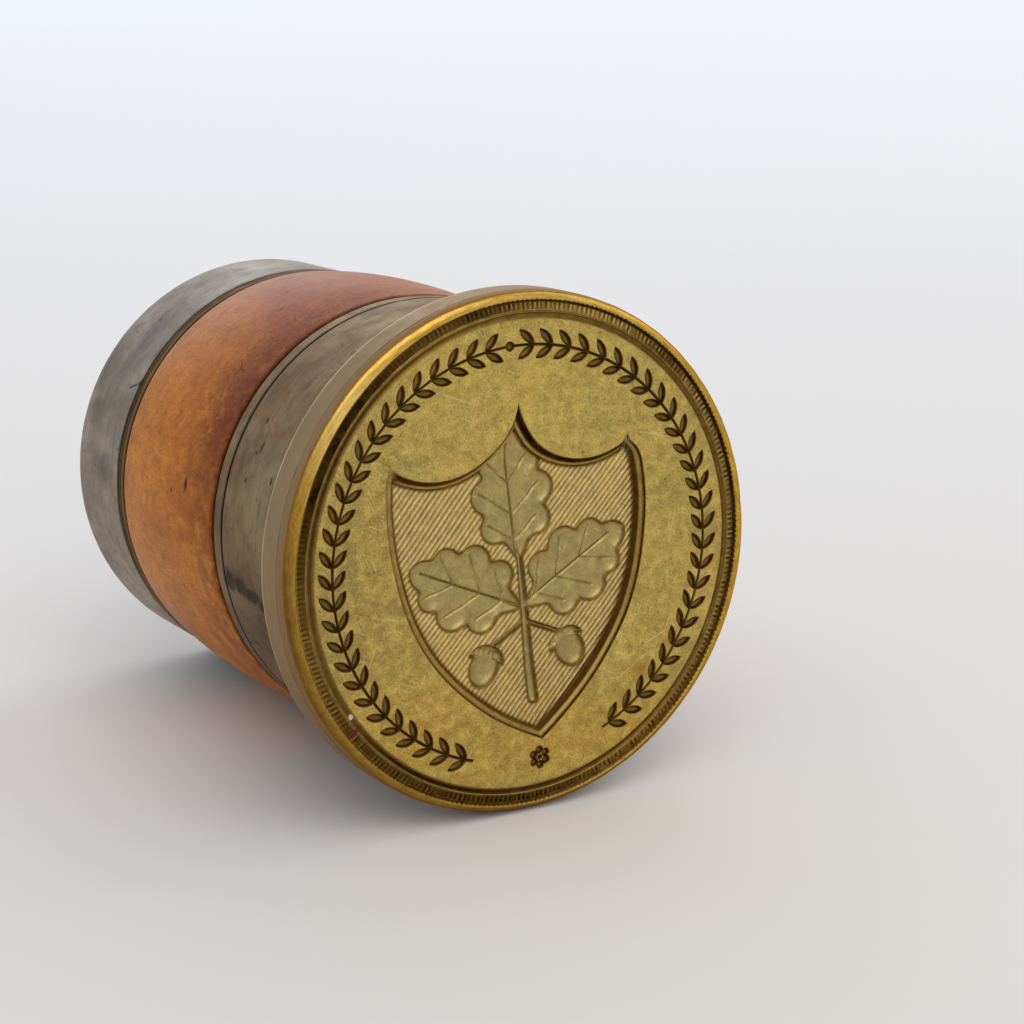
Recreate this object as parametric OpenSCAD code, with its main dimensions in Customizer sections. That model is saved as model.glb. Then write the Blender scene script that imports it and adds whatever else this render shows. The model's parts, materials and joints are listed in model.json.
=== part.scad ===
// Desk seal: a hand seal with an engraved brass die in a flanged holder,
// a turned wood grip and a brass cap. It stands on the cap, engraved face up.
// Sizes are in millimetres. +Z runs up the axis to the engraved face, and the
// origin is the middle of the cap's flat rear end. The face's top is at +Y.
// The threads are plain cylinders at their outside diameter.

/* [Seal face] */
// Diameter of the engraved face over its rim
face_d = 34; // [30:0.5:40]
// Height of the die's edge that shows above the holder
die_edge_h = 0.9; // [0.7:0.1:1.4]
// Width of the die's edge that lies on the holder's flange
die_lip_w = 3; // [2.4:0.1:3.6]
// Height of the die's body in the holder's socket
die_body_h = 1.5; // [1.2:0.05:1.55]
// Radius of the rounding on the rim
rim_round = 0.55; // [0.3:0.05:0.6]
// Width of the plain rim outside the milled groove
rim_w = 0.75; // [0.7:0.05:1.1]
// Width of the milled groove
milled_w = 0.64; // [0.4:0.02:0.8]
// Depth of the milled groove
milled_depth = 0.35; // [0.2:0.05:0.45]
// Width of the ridge between the two grooves
ridge_w = 0.18; // [0.12:0.02:0.3]
// Width of the plain inner groove
line_w = 0.32; // [0.2:0.02:0.5]
// Depth of the plain inner groove
line_depth = 0.24; // [0.14:0.02:0.4]

/* [Engraving] */
// Lean of the whole design to the left, in degrees
design_lean = 2.9; // [0:0.1:20]
// Height of the shield as a share of the face diameter
shield_share = 0.646; // [0.54:0.01:0.66]
// Depth of the shield's sunk ground
shield_depth = 0.55; // [0.3:0.05:0.7]
// Depth of the sprig under the shield's ground
sprig_depth = 0.4; // [0.2:0.05:0.6]
// Number of leaves in the border, on both sides together
border_leaves = 40; // [28:2:44]
// Radius of the border as a share of the face radius
border_share = 0.79; // [0.77:0.005:0.81]
// Length of a border leaf
border_leaf_len = 2.2; // [1.4:0.1:2.3]
// Width of a border leaf
border_leaf_w = 0.8; // [0.5:0.05:1]
// Depth of the border leaves and the rosette
border_depth = 0.3; // [0.15:0.05:0.45]

/* [Die holder] */
// Height of the holder's flange
flange_h = 2.2; // [1.6:0.1:3]
// Height of the neck behind the flange
neck_h = 10.6; // [9.6:0.1:13]
// How far the neck lies inside the edge of the face
neck_inset = 2.07; // [1.4:0.01:2.8]
// How far the flange lies inside the edge of the face
flange_inset = 0.06; // [0.02:0.02:0.2]
// Chamfer on the rear edge of the flange
flange_chamfer = 0.12; // [0.06:0.02:0.4]
// Radius of the fillet between neck and flange
neck_fillet = 0.8; // [0.3:0.1:1.2]

/* [Screw joint of the head] */
// Diameter of the stud that joins die, holder and handle
stud_d = 8; // [6:0.5:9]
// Pitch of the stud's thread
stud_pitch = 1.5; // [1:0.25:1.75]
// Turns of thread that hold the head in the handle
stud_turns = 5; // [3:1:5]
// How far the stud reaches past the boss into the die's body
stud_past_boss = 0.4; // [0:0.1:0.6]
// Height of the boss under the die that takes the stud
boss_h = 4; // [3:0.2:4.4]
// Wall of the boss around the stud
boss_wall = 3; // [2.2:0.1:4]
// Height of the lock nut on the stud
nut_h = 3.2; // [2.4:0.1:3.4]
// Width of the lock nut across its flats
nut_w = 13; // [12:0.5:14]
// Thickness of the leather washer under the holder
seat_h = 0.3; // [0.2:0.05:0.5]
// How far the leather washer lies inside the neck
seat_inset = 0.35; // [0.2:0.05:0.8]

/* [Grip] */
// Length of wood that shows
grip_h = 16.2; // [15:0.2:24]
// Swell of the wood at its middle, on the radius
grip_swell = 0.46; // [0.1:0.02:0.6]
// Chamfer on the ends of the wood
grip_chamfer = 0.22; // [0.1:0.02:0.4]
// Height of the flange of the front bush
bush_flange_h = 1.3; // [1.1:0.1:2]
// Outside diameter of the sleeve of the front bush
sleeve_d = 13; // [11.5:0.5:15]
// Length of the sleeve of the front bush
sleeve_len = 13; // [12:0.5:14]

/* [Rear cap] */
// Height of the rear cap
cap_h = 8; // [7:0.2:12]
// Thickness of the cap's floor
cap_floor = 5; // [4.6:0.1:5.6]
// Wall of the cap around the wood
cap_wall = 1.9; // [1.4:0.1:2.6]
// Radius of the rounding on the cap's rear edge
cap_round = 0.4; // [0.2:0.1:1.6]
// Height of the ring between cap and wood
ferrule_h = 1.2; // [0.8:0.1:2]
// Chamfer on the edges of the ring and the bush flange
ring_chamfer = 0.18; // [0.08:0.02:0.3]

/* [Handle screw] */
// Diameter of the screw that clamps the handle together
screw_d = 5; // [4:0.5:5.5]
// Diameter of the screw's head
screw_head_d = 9; // [8:0.5:10]
// Height of the screw's head
screw_head_h = 2; // [1.6:0.1:2.2]
// Width of the slot in the screw's head
slot_w = 1.2; // [0.8:0.1:1.6]
// Depth of the slot in the screw's head
slot_depth = 0.9; // [0.6:0.1:1.1]
// Thickness of the washer under the screw's head
washer_h = 0.4; // [0.3:0.1:0.6]
// Thickness of the plug that closes the cap
plug_h = 1.3; // [1:0.1:1.4]
// Diameter of the plug and of the hole that it closes
plug_d = 11; // [10.6:0.2:13]

/* [Pins] */
// Diameter of the locating pins
pin_d = 1.6; // [1.2:0.1:2]
// Depth of the front pins in the bush flange
pin_in_bush = 0.7; // [0.5:0.05:0.8]
// Depth of the rear pins in the cap's floor
pin_in_cap = 2; // [1.4:0.1:2.6]
// Depth of all pins in the wood
pin_in_wood = 3.4; // [2.4:0.2:4.4]

/* [Fits] */
// Radial clearance of fixed pieces in their holes
fit_gap = 0.03; // [0.02:0.01:0.05]
// Radial clearance of the stud in the handle's thread
thread_gap = 0.05; // [0.03:0.01:0.08]

/* [Hidden] */
$fn = 96;

// Colours of the materials
brass_bright = [0.72, 0.58, 0.24];
brass_dark = [0.42, 0.37, 0.32];
steel_grey = [0.55, 0.55, 0.57];
wood_brown = [0.66, 0.38, 0.16];
leather_brown = [0.16, 0.1, 0.07];

// Radii that the pieces share
face_r = face_d / 2;
neck_r = face_r - neck_inset;
flange_r = face_r - flange_inset;
die_body_r = face_r - die_lip_w;
stud_r = stud_d / 2;
boss_r = stud_r + boss_wall;
sleeve_r = sleeve_d / 2;
tenon_r = neck_r - cap_wall;
screw_r = screw_d / 2;
plug_r = plug_d / 2;
pin_r = pin_d / 2;
bush_pin_ring = (neck_r + sleeve_r) / 2;
cap_pin_ring = (tenon_r + plug_r) / 2;

// Heights of the joints between the pieces
ferrule_z = cap_h;
shoulder_z = ferrule_z + ferrule_h;
bush_z = shoulder_z + grip_h;
seat_z = bush_z + bush_flange_h;
holder_z = seat_z + seat_h;
flange_z = holder_z + neck_h;
die_edge_z = flange_z + flange_h;
face_z = die_edge_z + die_edge_h;
die_body_z = die_edge_z - die_body_h;
boss_z = die_body_z - boss_h;
sleeve_z = bush_z - sleeve_len;
head_room = 0.3;
screw_head_z = plug_h + head_room;
washer_z = screw_head_z + screw_head_h;
counterbore_h = washer_z + washer_h;

// The stud reaches down into the handle by its turns of thread
stud_reach = stud_turns * stud_pitch;
stud_z = seat_z - stud_reach;
stud_top_z = die_body_z + stud_past_boss;
stud_room = 0.6;
stud_hole_z = stud_z - 2 * stud_room;
nut_top_z = holder_z + nut_h + stud_room;
nut_pocket_r = nut_w / sqrt(3) + stud_room;
screw_end_z = stud_hole_z - stud_room;

// Arc of the wood's swell
swell_arc_r = (grip_h * grip_h / 4 + grip_swell * grip_swell) / (2 * grip_swell);

// The shield, in shares of its own height
shield_h = shield_share * face_d;
side_arc = 0.809;
side_arc_x = 0.401;
side_arc_y = 0.144;
scallop_arc = 0.2374;
scallop_x = 0.232;
scallop_y = 0.491;
shield_top = 0.465;

// Rosette under the shield
rosette_y = -0.79 * face_r;
petal_r = 0.22;
petal_ring = 0.5;
petal_count = 6;

// A small overlap that keeps cuts clean
cut = 0.2;

// Outline of a pointed leaf from two equal arcs, with its length along Y
module leaf_outline(len, width) {
  arc_r = (len * len + width * width) / (4 * width);
  intersection() {
    translate([arc_r - width / 2, 0]) circle(r = arc_r);
    translate([width / 2 - arc_r, 0]) circle(r = arc_r);
  }
}

// Outline of the shield, with two hollows in its top edge and a pointed foot
module shield_outline() {
  difference() {
    intersection() {
      translate([-side_arc_x, side_arc_y] * shield_h) circle(r = side_arc * shield_h);
      translate([side_arc_x, side_arc_y] * shield_h) circle(r = side_arc * shield_h);
      translate([-shield_h, -shield_h]) square([2, 1 + shield_top] * shield_h);
    }
    for (side = [-1, 1]) {
      translate([side * scallop_x, scallop_y] * shield_h) circle(r = scallop_arc * shield_h);
    }
  }
}

// Outline of a lobed oak leaf with its stalk end at the origin, along +Y
module oak_leaf_outline(len) {
  translate([0, len / 2]) leaf_outline(len, len * 0.34);
  for (side = [-1, 1]) {
    translate([side * 0.17, 0.3] * len) circle(r = len * 0.12);
    translate([side * 0.21, 0.54] * len) circle(r = len * 0.13);
    translate([side * 0.14, 0.76] * len) circle(r = len * 0.11);
  }
  translate([0, len * 0.9]) circle(r = len * 0.11);
}

// Outline of the sprig: a stem, three oak leaves and two acorns
module sprig_outline() {
  leaf_len = shield_h * 0.38;
  stem_w = shield_h * 0.035;
  translate([-stem_w / 2, -shield_h * 0.44]) square([stem_w, shield_h * 0.5]);
  translate([0, -shield_h * 0.02]) oak_leaf_outline(leaf_len);
  for (side = [-1, 1]) {
    translate([0, -shield_h * 0.16]) rotate(-side * 62) oak_leaf_outline(leaf_len);
    translate([side * 0.13, -0.31] * shield_h) circle(r = shield_h * 0.055);
  }
}

// Two pins or holes opposite each other
module pin_pair(ring_r, radius, base_z, height) {
  for (side = [-1, 1]) {
    translate([side * ring_r, 0, base_z]) cylinder(r = radius, h = height);
  }
}

// Engraved die: rim, body and boss, with the design cut into its face
module seal_die() {
  color(brass_bright) difference() {
    union() {
      rotate_extrude() intersection() {
        translate([0, die_edge_z]) square([face_r, die_edge_h]);
        union() {
          translate([0, die_edge_z]) square([face_r - rim_round, die_edge_h]);
          translate([0, die_edge_z]) square([face_r, die_edge_h - rim_round]);
          translate([face_r - rim_round, face_z - rim_round]) circle(r = rim_round);
        }
      }
      translate([0, 0, die_body_z]) cylinder(r = die_body_r - fit_gap, h = die_body_h + cut);
      translate([0, 0, boss_z]) cylinder(r = boss_r - fit_gap, h = boss_h + cut);
    }
    face_grooves();
    rotate(design_lean) {
      shield_cut();
      border_cut();
    }
    translate([0, 0, boss_z - cut]) cylinder(r = stud_r, h = stud_top_z - boss_z + cut);
  }
}

// Milled groove and plain groove inside the rim
module face_grooves() {
  milled_out = face_r - rim_w;
  milled_in = milled_out - milled_w;
  line_out = milled_in - ridge_w;
  line_in = line_out - line_w;
  rotate_extrude() {
    polygon([
      [milled_out, face_z + cut], [milled_out, face_z],
      [milled_in + milled_w * 0.4, face_z - milled_depth],
      [milled_in, face_z], [milled_in, face_z + cut]
    ]);
    polygon([
      [line_out, face_z + cut], [line_out, face_z],
      [line_in + line_w * 0.4, face_z - line_depth],
      [line_in, face_z], [line_in, face_z + cut]
    ]);
  }
}

// Sunk shield with the sprig cut deeper in its ground
module shield_cut() {
  translate([0, 0, face_z - shield_depth]) {
    linear_extrude(shield_depth + cut) shield_outline();
    translate([0, 0, -sprig_depth]) linear_extrude(sprig_depth + cut) sprig_outline();
  }
}

// Border of leaves that climb both sides from a rosette at the foot
module border_cut() {
  leaves_a_side = border_leaves / 2;
  first_angle = 20;
  step = (180 - first_angle) / leaves_a_side;
  leaf_tilt = 50;
  translate([0, 0, face_z - border_depth]) linear_extrude(border_depth + cut) {
    for (side = [-1, 1], index = [0 : leaves_a_side - 1]) {
      rotate(180 + side * (first_angle + step * index))
        translate([0, border_share * face_r])
          rotate(side * (index % 2 == 0 ? 90 - leaf_tilt : 90 + leaf_tilt))
            leaf_outline(border_leaf_len, border_leaf_w);
    }
    for (index = [0 : petal_count - 1]) {
      translate([0, rosette_y]) rotate(index * 360 / petal_count)
        translate([0, petal_ring]) circle(r = petal_r);
    }
  }
}

// Holder: flange, neck, socket for the die and pocket for the lock nut
module die_holder() {
  color(brass_dark) difference() {
    rotate_extrude() {
      polygon([
        [0, flange_z], [flange_r - flange_chamfer, flange_z],
        [flange_r, flange_z + flange_chamfer], [flange_r, die_edge_z], [0, die_edge_z]
      ]);
      translate([0, holder_z]) square([neck_r, neck_h]);
      difference() {
        translate([neck_r, flange_z - neck_fillet]) square(neck_fillet);
        translate([neck_r + neck_fillet, flange_z - neck_fillet]) circle(r = neck_fillet);
      }
    }
    translate([0, 0, die_body_z]) cylinder(r = die_body_r, h = die_body_h + cut);
    translate([0, 0, boss_z]) cylinder(r = boss_r, h = boss_h + cut);
    translate([0, 0, holder_z]) cylinder(r = stud_r + fit_gap, h = neck_h);
    translate([0, 0, holder_z - cut]) cylinder(r = nut_pocket_r, h = nut_top_z - holder_z + cut);
  }
}

// Threaded stud: fixed in the die, and screwed into the front bush
module die_stud() {
  color(steel_grey) translate([0, 0, stud_z])
    cylinder(r = stud_r - fit_gap, h = stud_top_z - stud_z);
}

// Hexagon nut that locks the stud and the die to the holder
module lock_nut() {
  color(steel_grey) translate([0, 0, nut_top_z - nut_h]) difference() {
    cylinder(r = nut_w / sqrt(3), h = nut_h, $fn = 6);
    translate([0, 0, -cut]) cylinder(r = stud_r, h = nut_h + 2 * cut);
  }
}

// Leather washer that the head seats on
module seat_washer() {
  color(leather_brown) translate([0, 0, seat_z]) difference() {
    cylinder(r = neck_r - seat_inset, h = seat_h);
    translate([0, 0, -cut]) cylinder(r = nut_pocket_r, h = seat_h + 2 * cut);
  }
}

// Outline of a flat ring with chamfered outer edges
module ring_outline(inner_r, outer_r, base_z, height) {
  polygon([
    [inner_r, base_z], [outer_r - ring_chamfer, base_z],
    [outer_r, base_z + ring_chamfer], [outer_r, base_z + height - ring_chamfer],
    [outer_r - ring_chamfer, base_z + height], [inner_r, base_z + height]
  ]);
}

// Flanged bush: its flange shows as a ring, and its sleeve holds both threads
module front_bush() {
  color(brass_dark) difference() {
    union() {
      rotate_extrude() ring_outline(0, neck_r, bush_z, bush_flange_h);
      translate([0, 0, sleeve_z]) cylinder(r = sleeve_r, h = sleeve_len + cut);
    }
    translate([0, 0, stud_hole_z])
      cylinder(r = stud_r - fit_gap + thread_gap, h = seat_z - stud_hole_z + cut);
    translate([0, 0, sleeve_z - cut]) cylinder(r = screw_r, h = stud_hole_z - sleeve_z + 2 * cut);
    pin_pair(bush_pin_ring, pin_r, bush_z - cut, pin_in_bush + cut);
  }
}

// Pins that keep the front bush from turning in the wood
module bush_pins() {
  color(steel_grey) pin_pair(
    bush_pin_ring, pin_r - fit_gap, bush_z - pin_in_wood, pin_in_wood + pin_in_bush);
}

// Turned wood grip: a barrel with a tenon at the rear end
module grip() {
  color(wood_brown) difference() {
    rotate_extrude() {
      intersection() {
        translate([neck_r + grip_swell - swell_arc_r, shoulder_z + grip_h / 2])
          circle(r = swell_arc_r);
        polygon([
          [0, shoulder_z], [neck_r - grip_chamfer, shoulder_z],
          [neck_r + grip_swell, shoulder_z + grip_chamfer + grip_swell],
          [neck_r + grip_swell, bush_z - grip_chamfer - grip_swell],
          [neck_r - grip_chamfer, bush_z], [0, bush_z]
        ]);
      }
      translate([0, cap_floor]) square([tenon_r - fit_gap, shoulder_z - cap_floor + cut]);
    }
    translate([0, 0, sleeve_z]) cylinder(r = sleeve_r + fit_gap, h = sleeve_len + cut);
    translate([0, 0, cap_floor - cut]) cylinder(r = screw_r + fit_gap, h = grip_h);
    pin_pair(bush_pin_ring, pin_r, bush_z - pin_in_wood, pin_in_wood + cut);
    pin_pair(cap_pin_ring, pin_r, cap_floor - cut, pin_in_wood + cut);
  }
}

// Thin ring between the wood and the cap
module rear_ferrule() {
  color(brass_bright) rotate_extrude() ring_outline(tenon_r, neck_r, ferrule_z, ferrule_h);
}

// Rear cap: a heavy cup that takes the tenon of the wood
module rear_cap() {
  color(brass_dark) difference() {
    rotate_extrude() {
      square([neck_r - cap_round, cap_h]);
      translate([0, cap_round]) square([neck_r, cap_h - cap_round]);
      translate([neck_r - cap_round, cap_round]) circle(r = cap_round);
    }
    translate([0, 0, cap_floor]) cylinder(r = tenon_r, h = cap_h);
    translate([0, 0, -cut]) cylinder(r = plug_r, h = counterbore_h + cut);
    cylinder(r = screw_r + fit_gap, h = cap_h);
    pin_pair(cap_pin_ring, pin_r, cap_floor - pin_in_cap, cap_h);
  }
}

// Pins that keep the cap from turning on the wood
module cap_pins() {
  color(steel_grey) pin_pair(
    cap_pin_ring, pin_r - fit_gap, cap_floor - pin_in_cap, pin_in_cap + pin_in_wood);
}

// Slotted screw that clamps cap, ring, wood and bush together
module handle_screw() {
  color(steel_grey) difference() {
    union() {
      translate([0, 0, screw_head_z]) cylinder(d = screw_head_d, h = screw_head_h);
      translate([0, 0, screw_head_z])
        cylinder(r = screw_r - fit_gap, h = screw_end_z - screw_head_z);
    }
    translate([-screw_head_d, -slot_w / 2, screw_head_z - cut])
      cube([2 * screw_head_d, slot_w, slot_depth + cut]);
  }
}

// Washer under the head of the handle screw
module screw_washer() {
  color(steel_grey) translate([0, 0, washer_z]) difference() {
    cylinder(r = plug_r - 2 * fit_gap, h = washer_h);
    translate([0, 0, -cut]) cylinder(r = screw_r + fit_gap, h = washer_h + 2 * cut);
  }
}

// Disc that closes the hole of the handle screw
module cap_plug() {
  color(brass_dark) cylinder(r = plug_r - fit_gap, h = plug_h);
}

seal_die();
die_holder();
die_stud();
lock_nut();
seat_washer();
front_bush();
bush_pins();
grip();
rear_ferrule();
rear_cap();
cap_pins();
handle_screw();
screw_washer();
cap_plug();
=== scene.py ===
# %% [markdown]
# A desk seal, made step by step. On the real one an engraved brass die sits in a dark
# brass holder, which screws into a turned wood grip with a brass cap. The CAD part gives
# the frame: sizes come from it, and every visible piece made here stands for one of its
# nodes. The seal stands on its cap with the engraved face up (+Z). In the photo it lies
# on its side, so the floor of the picture is a plane that touches its side.

import json
import math

import bpy
import numpy as np
from mathutils import Matrix, Vector

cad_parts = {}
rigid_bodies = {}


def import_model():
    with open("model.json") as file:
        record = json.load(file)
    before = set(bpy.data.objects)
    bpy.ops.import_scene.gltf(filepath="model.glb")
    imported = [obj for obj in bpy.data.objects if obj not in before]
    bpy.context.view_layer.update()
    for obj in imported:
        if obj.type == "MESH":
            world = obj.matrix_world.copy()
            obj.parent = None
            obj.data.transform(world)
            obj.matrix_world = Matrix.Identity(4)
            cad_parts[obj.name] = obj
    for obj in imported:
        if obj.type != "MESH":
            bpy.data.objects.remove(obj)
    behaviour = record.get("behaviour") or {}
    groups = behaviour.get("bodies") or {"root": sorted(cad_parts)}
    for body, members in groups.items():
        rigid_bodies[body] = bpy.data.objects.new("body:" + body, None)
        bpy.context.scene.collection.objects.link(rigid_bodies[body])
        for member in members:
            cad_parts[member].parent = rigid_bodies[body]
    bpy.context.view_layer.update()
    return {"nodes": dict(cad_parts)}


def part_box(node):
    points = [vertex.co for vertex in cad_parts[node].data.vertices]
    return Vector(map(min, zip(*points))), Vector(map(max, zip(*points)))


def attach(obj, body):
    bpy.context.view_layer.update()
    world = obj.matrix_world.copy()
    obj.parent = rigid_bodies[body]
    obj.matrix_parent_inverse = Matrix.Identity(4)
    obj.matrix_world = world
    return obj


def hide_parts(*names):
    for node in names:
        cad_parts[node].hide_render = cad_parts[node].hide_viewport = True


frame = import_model()
print("CAD nodes:", sorted(frame["nodes"]))

# %% [markdown]
# Sizes are read from the CAD boxes, so that the pieces follow the part. They are kept in
# millimetres, because the pieces are small and 0.3 is easier to read than 0.0003.
# Lengths go back to metres only where Blender needs them.

# %% Sizes from the CAD
MM = 0.001


def top(node):
    """Height of a node's upper end, in mm."""
    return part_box(node)[1].z / MM


def bottom(node):
    """Height of a node's lower end, in mm."""
    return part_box(node)[0].z / MM


def radius(node):
    """Largest radius of a turned node, in mm."""
    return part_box(node)[1].x / MM


FACE_R, FACE_Z = radius("seal_die"), top("seal_die")
FLANGE_R, EDGE_Z = radius("die_holder"), top("die_holder")
NECK_R = radius("front_bush")
print("radius of face", round(FACE_R, 2), "flange", round(FLANGE_R, 2), "neck", round(NECK_R, 2))
print("height of face", round(FACE_Z, 2), "holder", round(EDGE_Z, 2))

# %% [markdown]
# The design on the face leans a little to the left. Its shield has two long curved sides
# and two round hollows in its top edge. A traced curve would do, but each edge is close
# to an arc, and an offset of an arc is again an arc. So the outline is worked out from
# four arcs, and its corners stay sharp at every distance inside the edge.

# %% Outline of the shield
LEAN = math.radians(2.9)
SHIELD_H = 0.646 * 2 * FACE_R
# Centre and radius of the right side's arc and of the right hollow, in shield heights
SIDE_AT, SIDE_ARC = (-0.401, 0.144), 0.809
HOLLOW_AT, HOLLOW_ARC = (0.232, 0.491), 0.2374
HOLLOW_STEPS, SIDE_STEPS = 150, 330
OUTLINE_STEPS = 2 * (HOLLOW_STEPS + SIDE_STEPS)


def from_design(u, v):
    """The design's own coordinates, which lean by LEAN, to face coordinates."""
    return u * math.cos(LEAN) - v * math.sin(LEAN), u * math.sin(LEAN) + v * math.cos(LEAN)


def arc_points(centre, size, start, end, count):
    """Points of the shorter arc between two points of a circle, without the end."""
    first = math.atan2(start[1] - centre[1], start[0] - centre[0])
    sweep = math.atan2(end[1] - centre[1], end[0] - centre[0]) - first
    sweep = (sweep + math.pi) % (2 * math.pi) - math.pi
    turns = first + sweep * np.arange(count) / count
    return np.column_stack([centre[0] + size * np.cos(turns), centre[1] + size * np.sin(turns)])


def shield_outline(inset):
    """Points round the shield this far inside its edge: peak, right ear, foot, left ear."""
    side, side_r = np.array(SIDE_AT) * SHIELD_H, SIDE_ARC * SHIELD_H - inset
    hollow, hollow_r = np.array(HOLLOW_AT) * SHIELD_H, HOLLOW_ARC * SHIELD_H + inset
    peak = (0, hollow[1] - math.sqrt(hollow_r**2 - hollow[0] ** 2))
    foot = (0, side[1] - math.sqrt(side_r**2 - side[0] ** 2))
    # The ear is where the two circles cross
    gap = hollow - side
    apart = math.hypot(*gap)
    along = (apart**2 + side_r**2 - hollow_r**2) / (2 * apart)
    off = math.sqrt(side_r**2 - along**2)
    ear = side + gap * along / apart + np.array([gap[1], -gap[0]]) * off / apart
    top_edge = arc_points(hollow, hollow_r, peak, ear, HOLLOW_STEPS)
    right = np.vstack([top_edge, arc_points(side, side_r, ear, foot, SIDE_STEPS), [foot]])
    return np.vstack([right, right[-2:0:-1] * [-1, 1]])


edge_loop = shield_outline(0)
print("outline points:", len(edge_loop), "height", round(np.ptp(edge_loop[:, 1]), 2), "mm")

# %% [markdown]
# The real shield was cut by hand, so it is fuller below and at the left than true arcs,
# and its right ear is blunt. Moving each vertex by eye would be slow. A few shifts at
# marked heights, blended into each other, move all points of the shield together.

# %% The engraver's hand
# Heights on the face, and how far to the right the left and the right side lie there
HAND_Y = (-12.2, -11, -9, -7, -5, 0, 3, 6.3, 8, 10)
HAND_LEFT = (0.33, -0.5, -0.6, -0.75, -0.73, -0.45, -0.5, -0.55, 0.2, 0.33)
HAND_RIGHT = (0.33, 0.45, 0.45, 0.45, 0.5, 0.24, 0.25, 0.2, 0.25, 0.33)
HALF_SHIELD = 9
# The right ear: its place, its spread, and how far it is drawn in and down
RIGHT_EAR, EAR_SPREAD, EAR_IN, EAR_DOWN = (8.2, 7.3), 0.9, 0.6, 0.3
# How far the top lies too high at the left, and how much lower at the right
LEFT_UP, RIGHT_DOWN = 0.4, 0.6


def ramp(low, high, value):
    """0 at low and before it, 1 at high and past it, and a smooth step between."""
    share = np.clip((value - low) / (high - low), 0, 1)
    return share * share * (3 - 2 * share)


def by_hand(x, y):
    """Where the engraver's hand put a point of the shield."""
    nearby = [y + step for step in (-0.8, -0.4, 0, 0.4, 0.8)]
    left, right = (
        np.mean([np.interp(level, HAND_Y, shifts) for level in nearby], axis=0)
        for shifts in (HAND_LEFT, HAND_RIGHT)
    )
    share = np.clip((x + HALF_SHIELD) / (2 * HALF_SHIELD), 0, 1)
    ear = np.exp(-((x - RIGHT_EAR[0]) ** 2 + (y - RIGHT_EAR[1]) ** 2) / EAR_SPREAD)
    across = left * (1 - share) + right * share - EAR_IN * ear
    upward = ramp(1, 5, y) * (LEFT_UP - RIGHT_DOWN * share) - EAR_DOWN * ear
    return x + across, y + upward


on_face = np.array(from_design(*edge_loop.T))
moved = np.hypot(*(np.array(by_hand(*on_face)) - on_face))
print("the hand moves the outline by up to", round(moved.max(), 2), "mm")

# %% [markdown]
# Round the shield the face steps down over a fine cut line, a narrow bevel and a steep wall. A
# boolean cut would give a bare wall. Rows of vertices along the outline give the bevel and the line
# too, and each row carries the dirt of the line and the painted shade of the wall that darken it.

# %% Rows of the shield's edge
SHIELD_DEPTH, INNER = 0.55, 0.49
# Each row: inset and height on the sides, inset and height in the hollows, then the dirt of the
# fine line, the painted shade of the wall on the sides and the painted shadow of the wall in the
# hollows
wall_rows = [
    (-0.1, 0, -0.1, 0, 0.0, 0.0, 0.0),
    (-0.065, -0.02, -0.05, 0, 0.5, 0.0, 0.1),
    (-0.03, -0.055, 0.0, -0.05, 1.0, 0.0, 0.6),
    (0.03, -0.06, 0.05, -0.12, 1.0, 0.05, 0.95),
    (0.08, -0.05, 0.1, -0.19, 0.5, 0.15, 1.0),
    (0.17, -0.09, 0.15, -0.26, 0.1, 0.28, 1.0),
    (0.27, -0.13, 0.2, -0.33, 0.0, 0.32, 1.0),
    (0.35, -0.165, 0.25, -0.39, 0.0, 0.45, 0.9),
    (0.375, -0.21, 0.3, -0.44, 0.0, 0.65, 0.65),
    (0.4, -0.33, 0.34, -0.47, 0.0, 0.6, 0.35),
    (0.43, -0.45, 0.38, -0.5, 0.0, 0.65, 0.15),
    (0.46, -0.53, 0.43, -0.53, 0.0, 0.85, 0.2),
    (INNER, -SHIELD_DEPTH, INNER, -SHIELD_DEPTH, 0.0, 0.8, 0.5),
]
# The hollows' rows fade into the sides' rows over the last steps before each ear
EAR_STEPS = 12
in_hollow = np.clip(np.arange(HOLLOW_STEPS, 0, -1) / EAR_STEPS, 0, 1)
in_hollow = np.concatenate([in_hollow, np.zeros(2 * SIDE_STEPS), in_hollow[::-1]])
# The left side is lighter than the right, most of all near its ear: its fine line has less dirt and
# its wall less painted shade
a_hollow, a_side, lighter_left = np.ones(HOLLOW_STEPS), np.ones(SIDE_STEPS), 0.65
growing = np.linspace(0.85, 0.3, SIDE_STEPS)
fading = np.linspace(1.0, 0.35, HOLLOW_STEPS)
line_share = np.concatenate([0 * a_hollow, a_side, growing, 0 * a_hollow])
side_share = np.concatenate([a_hollow, a_side, lighter_left * a_side, lighter_left * a_hollow])
hollow_share = np.concatenate([a_hollow, a_side, a_side, fading])
print(len(wall_rows), "rows of", OUTLINE_STEPS, "points")

# %% [markdown]
# The engraving is heights and dirt that are worked out for every vertex at once. Sculpting
# can't be repeated exactly, and a bump in the material is gone from the side. These
# helpers read and write all vertices of a piece, and keep a number for each vertex that
# the materials read later.

# %% Vertex helpers
def clear_selection():
    """Leaves edit mode, with nothing selected."""
    if bpy.context.object and bpy.context.object.mode != "OBJECT":
        bpy.ops.object.mode_set(mode="OBJECT")
    bpy.ops.object.select_all(action="DESELECT")


def read_points(obj):
    """Vertex coordinates in mm, as three columns."""
    flat = np.empty(len(obj.data.vertices) * 3)
    obj.data.vertices.foreach_get("co", flat)
    return flat.reshape(-1, 3) / MM


def write_points(obj, points):
    """Puts vertex coordinates in mm back into the mesh."""
    obj.data.vertices.foreach_set("co", (points * MM).ravel())
    obj.data.update()


def store(obj, name, values):
    """Keeps one number for each vertex, for the material to read."""
    layer = obj.data.attributes.new(name, "FLOAT", "POINT")
    layer.data.foreach_set("value", np.asarray(values, dtype=np.float32))


def join_doubles():
    """In edit mode, joins the vertices that lie on each other."""
    bpy.ops.mesh.select_all(action="SELECT")
    bpy.ops.mesh.remove_doubles(threshold=1e-7)


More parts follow.
